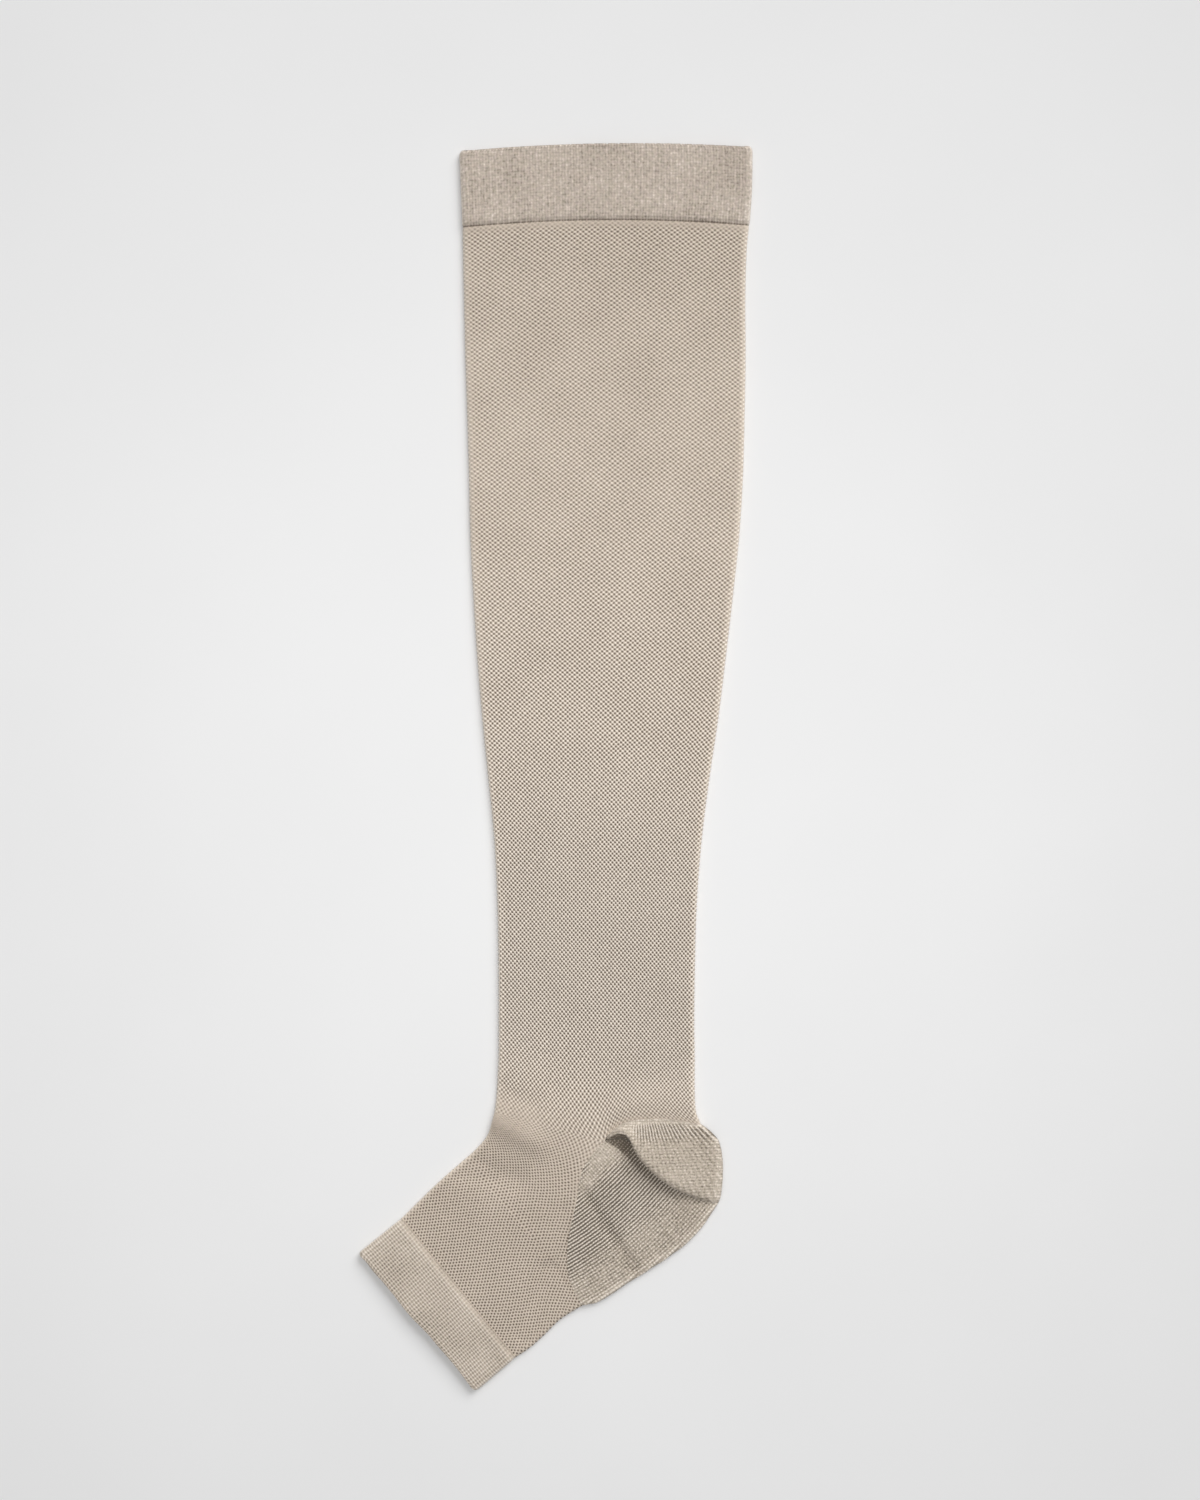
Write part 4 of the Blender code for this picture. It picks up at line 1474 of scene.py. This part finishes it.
@dataclass
class Foot(Stretch):
    """The bird's-eye tube over the instep, from the ankle to the toe band."""

    row_steps: float = 4.0  # the outer face's rows in a row of dots
    plain_row_steps: float = 0.6
    layer_steps: tuple[int, int] = (200, 8)  # along one layer, and round the fold at the sole
    plain_layer_steps: tuple[int, int] = (32, 6)
    tuck_painted_shade: float = 0.22  # a painted shadow: how much darker the yarn is painted where it goes in under the sole

    def face(self, is_fine: bool) -> Face:
        """The foot's grid: rows that end at the sole's edge, and then closed ones.

        Args:
            is_fine: The outer face's close grid, and not the inner face's plain one.

        Returns:
            The face.
        """
        per_row = self.row_steps if is_fine else self.plain_row_steps
        steps, turn = self.layer_steps if is_fine else self.plain_layer_steps
        opened = np.linspace(0.0, 1.0, int(FOOT_OPEN_ROWS * per_row) + 1)[:-1]
        closed = np.linspace(0.0, 1.0, int(FOOT_CLOSED_ROWS * per_row) + 1)
        bend, instep, sole = through(INSTEP_BEND), through(INSTEP), through(SOLE)
        to_sole, to_front = table_line(FOOT_FAN, 1), table_line(FOOT_FAN, 2)
        sole_ray = HeelFan().lower(LAST_RAY)
        top, bottom = layer_heights(sole_ray(np.array((1.0,))), WALL)
        reach = np.linalg.norm(np.array(SOLE_END) - np.array(PINCH))
        end = 1.0 - ((top[0] - bottom[0]) / 2 + WALL / 2) / reach
        first_ring = foot_ring(instep(0.0), sole(0.0), FOOT_BOW, WALL)
        last_pitch = self.upper_length(first_ring) / (2 * FOLD_WALE)
        rows, wales, row_numbers = [], [], []
        first_pitch = None
        for share in opened:
            back, front = sole_ray(end * to_sole(share)), bend(to_front(share))
            half = foot_half(foot_line(back, front, FOOT_BOW * share), WALL)
            length = half.lengths()[half.tip]
            first_pitch = first_pitch or length / FOLD_WALE
            pitch = first_pitch + (last_pitch - first_pitch) * float(ease(np.array(share)))
            start = FOLD_WALE - length / pitch
            at = self.spread(start, 2 * FOLD_WALE - start, steps)
            row = sample(half.points, half.wales(start, 2 * FOLD_WALE - start), at)
            rows.append(np.concatenate([row, np.full((turn - 1, 3), np.nan)]))
            wales.append(np.concatenate([at, np.full(turn - 1, at[-1])]))
            row_numbers.append(FOOT_OPEN_ROWS * share)
        for share in closed:
            course = foot_ring(instep(share), sole(share), FOOT_BOW * (1 - share), WALL)
            start, stop = course.wales[course.first], course.wales[course.last]
            at = self.spread(start, stop, steps)
            around = np.linspace(stop, start + WALES, turn + 1)[1:-1]
            looped = np.concatenate([course.points, course.points[1 : course.first + 1]])
            keys = np.concatenate([course.wales, course.wales[1 : course.first + 1] + WALES])
            at = np.concatenate([at, around])
            rows.append(sample(looped, keys, at))
            wales.append(at)
            row_numbers.append(FOOT_OPEN_ROWS + FOOT_CLOSED_ROWS * share)
        numbers = -(LEG_ROWS + np.array(row_numbers))
        knit = np.stack([np.array(wales), numbers[:, None] + 0 * np.array(wales)], axis=-1)
        row_numbers, points = np.array(row_numbers), np.array(rows)
        strength = fold_fade(knit[..., 0]) * table_line(FOOT_STRENGTH)(row_numbers)[:, None]
        by_bend = (1.0 - onset(row_numbers, 1.0, over=7.0))[:, None] * onset(knit[..., 0], 10.0, over=8.0)
        by_gore = GORE.reach(points[..., :2])
        along = np.linalg.norm(np.gradient(points[..., :2], axis=0), axis=-1)
        pitch = along / np.gradient(row_numbers)[:, None]
        crowded = 1.0 - onset(np.nan_to_num(pitch, nan=2.0), 0.55, over=0.75)
        strength = strength * (1.0 - 0.2 * by_bend) * (1.0 - 0.6 * by_gore) * (1.0 - 0.7 * crowded)
        is_open = (row_numbers < FOOT_OPEN_ROWS)[:, None]
        from_sole = np.where(is_open, knit[..., 0] - knit[:, :1, 0], BORDER)
        sinks = ease(row_numbers / BORDER)[:, None] * ease(from_sole / BORDER)
        relief = birdseye(knit, self.peak) * sinks * np.minimum(strength, 1.0)
        # Painted highlights at the folds
        tone = fold_painted_highlight(knit[..., 0]) + 0.05 * by_gore - 0.05 * ease(row_numbers / DRAWN_ROWS)[:, None]
        # A painted shadow along the sole's edge, where the foot goes in under it
        tucked = onset(row_numbers, 10.0, over=8.0)[:, None] * bell(from_sole, 0.6)
        tone = tone - self.tuck_painted_shade * tucked
        drawn = ease(row_numbers / DRAWN_ROWS)[:, None] + 0 * tone
        relief = relief if is_fine else 0 * relief
        return Face(points, knit, relief, WALL + 0 * relief, strength, tone, drawn)

    def upper_length(self, course: FootRing) -> float:
        """The length of a closed course's upper layer, from fold to fold."""
        upper = course.points[course.wales <= FOLD_WALE + 1e-6]
        return float(np.linalg.norm(np.diff(upper, axis=0), axis=1).sum())

    def spread(self, start: float, stop: float, steps: int) -> Array:
        """Wales from start through the front fold to stop.

        Args:
            start: The wale of the first point.
            stop: The wale of the last point.
            steps: How many steps there are from each of them to the fold.

        Returns:
            The wales.
        """
        return np.concatenate(
            [np.linspace(start, FOLD_WALE, steps + 1)[:-1], np.linspace(FOLD_WALE, stop, steps + 1)]
        )


@dataclass
class ToeBand(Stretch):
    """The doubled welt round the open toe."""

    fine: Steps = Steps(BAND_COURSE / 4, 0.25)
    plain: Steps = Steps(2.5, 2.0)
    seam_ridge: float = 0.14  # how far the seam stands up
    seam_tone: float = 0.14  # how much lighter its yarn looks
    groove_at: float = 0.9  # the groove beyond the seam
    groove_painted_shade: float = 0.12  # painted shade: how much darker its yarn is painted in the groove

    def face(self, is_fine: bool) -> Face:
        """The band's grid, from its seam to its free edge.

        Args:
            is_fine: The outer face's close grid, and not the inner face's plain one.

        Returns:
            The face.
        """
        front, back = np.array(INSTEP[-1]), np.array(SOLE[-1])
        front_end, back_end = np.array(TOE_FRONT), np.array(TOE_BACK)
        length = float(np.linalg.norm(front_end - front))
        grid = self.fine if is_fine else self.plain
        edge = np.linspace(length - EDGE_ROUND, length, EDGE_POINTS if is_fine else PLAIN_EDGE_POINTS)
        depths = np.concatenate([np.linspace(0.0, length - EDGE_ROUND, int(length / grid.row) + 1), edge[1:]])
        columns = np.arange(-FOLD_WALE, WALES - FOLD_WALE, grid.wale)
        rows, walls = [], []
        for depth in depths:
            share = depth / length
            wall = WALL + (WELT - WALL) * float(ease(np.array(depth / WELT_SWELLS_OVER)))
            start, end = between(front, front_end, share), between(back, back_end, share)
            inset = (end - start) / np.linalg.norm(end - start) * corner_inset(length - depth, TOE_CORNER)
            course = foot_ring(start + inset, end - inset, 0.0, wall, TOE_GAPE * share)
            rows.append(sample(course.points, course.wales, columns))
            walls.append(wall)
        points = np.array(rows)
        drawn = 0.3 * np.sin(columns / 4.6 + 0.6) + 0.1 * np.sin(columns / 2.1)
        out = (front_end - front) / length
        points[..., :2] += ((depths / length) ** 2)[:, None, None] * drawn[:, None] * out
        knit = counts(depths / BAND_COURSE, columns)
        from_seam = depths[:, None] + 0.0 * columns
        strength = 1.0 - 0.45 * bell(from_seam - self.groove_at, 0.9)
        raised = bell(from_seam, 0.3) - 0.9 * bell(from_seam - self.groove_at, 0.3)
        relief = welt_relief(knit, self.peak) * strength + self.seam_ridge * raised
        thickness = (np.array(walls) * rounded_edge(length - depths))[:, None] + 0.0 * relief
        tone = self.seam_tone * bell(from_seam, 0.3) + 0.1 * bell(from_seam - 2.4, 0.45)
        # Painted shade in the groove beyond the seam, and painted highlights at the folds
        tone = tone - self.groove_painted_shade * bell(from_seam - self.groove_at, 0.35) + fold_painted_highlight(columns)
        return Face(points, knit, relief if is_fine else 0 * relief, thickness, strength, tone, 0 * tone)


@dataclass
class Stocking:
    """The whole stocking, set on the frame's box."""

    stretches: tuple[Stretch, ...]

    def build(self, low: Array, high: Array) -> None:
        """Builds every stretch and sets them all on the frame.

        Args:
            low: The lowest corner of the frame's box, in metres.
            high: Its highest corner.
        """
        built = [stretch.build() for stretch in self.stretches]
        used = [
            points[np.unique(np.concatenate([group.corners.ravel() for group in groups]))]
            for points, groups, _ in built
        ]
        cloth = np.concatenate(used)
        shift = (low + high) / 2 / MM - (cloth.min(axis=0) + cloth.max(axis=0)) / 2
        shift[2] = low[2] / MM - cloth[:, 2].min()
        for stretch, (points, groups, marks) in zip(self.stretches, built):
            mesh = make_mesh(stretch.name, points + shift, groups, marks)
            stretch.dress(mesh)
            triangles = sum(len(group.corners) * (group.corners.shape[1] - 2) for group in groups)
            LOG.info("%s: %d triangles", stretch.name, triangles)


BOARD_SCALE = 9.0  # the paint's mottles are 110 mm wide


@dataclass(frozen=True)
class Lamp:
    """A soft light: a square one, or a round one with a soft-edged cone."""

    name: str
    place: tuple[float, float, float]
    size: float
    power: float
    cone: float = 0.0  # the whole angle of the cone, in degrees

    def add(self) -> None:
        """Hangs the lamp, facing the middle of the table."""
        bpy.ops.object.light_add(type="SPOT" if self.cone else "AREA", location=self.place)
        lamp = bpy.context.object
        lamp.name = self.name
        lamp.data.energy = self.power
        if self.cone:
            lamp.data.spot_size, lamp.data.spot_blend = np.radians(self.cone), 1.0
            lamp.data.shadow_soft_size = self.size
        else:
            lamp.data.size = self.size
        lamp.rotation_euler = (-lamp.location).to_track_quat("-Z", "Y").to_euler()


@dataclass
class Studio:
    """A pale table, soft light from the upper right, and a camera straight above."""

    table: float = 6.0
    view_middle: tuple[float, float] = (0.0158, 0.0060)  # from the middle of the stocking's box
    distance: float = 1.4
    view_height: float = 0.54  # how much of the table the view's long side takes in
    lamps: tuple[Lamp, ...] = (
        Lamp("key light", (2.6, 3.7, 4.15), 4.2, 246.0),
        Lamp("overhead light", (-0.36, -0.02, 1.8), 0.9, 3.6),
        Lamp("centre light", (0.0, 0.0, 2.3), 0.25, 50.0, 20.5),
    )
    sky: float = 0.32
    board_shades: tuple[str, str] = ("#ebebeb", "#f1f1f1")
    board_roughness: float = 0.9

    def build(self) -> None:
        """Sets the table, the lamps, the air's own light and the camera."""
        bpy.ops.object.select_all(action="DESELECT")
        bpy.ops.mesh.primitive_plane_add(size=self.table, location=(0.0, 0.0, 0.0))
        table = bpy.context.object
        table.name = "table"
        table.data.materials.append(self.painted_board())
        table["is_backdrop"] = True
        for lamp in self.lamps:
            lamp.add()
        world = bpy.data.worlds.new("studio")
        world.use_nodes = True
        world.node_tree.nodes["Background"].inputs["Color"].default_value = (1.0, 1.0, 1.0, 1.0)
        world.node_tree.nodes["Background"].inputs["Strength"].default_value = self.sky
        bpy.context.scene.world = world
        self.add_camera()
        bpy.context.scene.view_settings.view_transform = "Standard"

    def painted_board(self) -> bpy.types.Material:
        """Matt painted board: pale, with a very faint mottle.

        Returns:
            The material.
        """
        material = bpy.data.materials.new("Matt painted board")
        material.use_nodes = True
        tree = material.node_tree
        place = add(tree, "ShaderNodeTexCoord", {}, {}).outputs["Object"]
        mottle = add(tree, "ShaderNodeTexNoise", {"Scale": BOARD_SCALE, "Detail": 3.0}, {"Vector": place})
        ramp_node = add(tree, "ShaderNodeValToRGB", {}, {0: mottle.outputs["Fac"]})
        stops = ramp_node.color_ramp.elements
        stops[0].color, stops[1].color = (linear(shade) for shade in self.board_shades)
        shader = tree.nodes["Principled BSDF"]
        tree.links.new(ramp_node.outputs["Color"], shader.inputs["Base Color"])
        shader.inputs["Roughness"].default_value = self.board_roughness
        return material

    def add_camera(self) -> None:
        """Puts the camera straight above the table."""
        low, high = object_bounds()
        middle = (low + high) / 2
        place = (middle.x + self.view_middle[0], middle.y + self.view_middle[1], self.distance)
        bpy.ops.object.camera_add(location=place, rotation=(0.0, 0.0, 0.0))
        camera = bpy.context.object
        camera.data.lens = camera.data.sensor_width * self.distance / self.view_height
        bpy.context.scene.camera = camera


def main() -> None:
    """Builds the stocking and its studio."""
    logging.basicConfig(level=logging.INFO, format="%(name)s: %(message)s")
    low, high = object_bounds()
    stocking = Stocking(
        (
            TopBand("top_band_knit", "top_band", "ribbed_welt", TOP_WELT, (0.212, 0.0275), peak=0.12),
            Leg("leg_knit", "leg", "birdseye_knit", BIRDSEYE_TUCK, (0.208, 0.3245), 0.0562, peak=0.12),
            Heel("heel_knit", "heel", "plain_knit", PLAIN_HEEL, (0.12, 0.066), 0.0056, peak=0.16),
            Foot("foot_knit", "foot", "birdseye_knit", BIRDSEYE_TUCK, (0.134, 0.075), 0.0076, peak=0.12),
            ToeBand("toe_band_knit", "toe_band", "ribbed_welt", TOE_WELT, (0.132, 0.0189), peak=0.1),
        )
    )
    stocking.build(np.array(low), np.array(high))
    Studio().build()
    LOG.info("studio built")
    low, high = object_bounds()


if __name__ == "__main__":
    main()
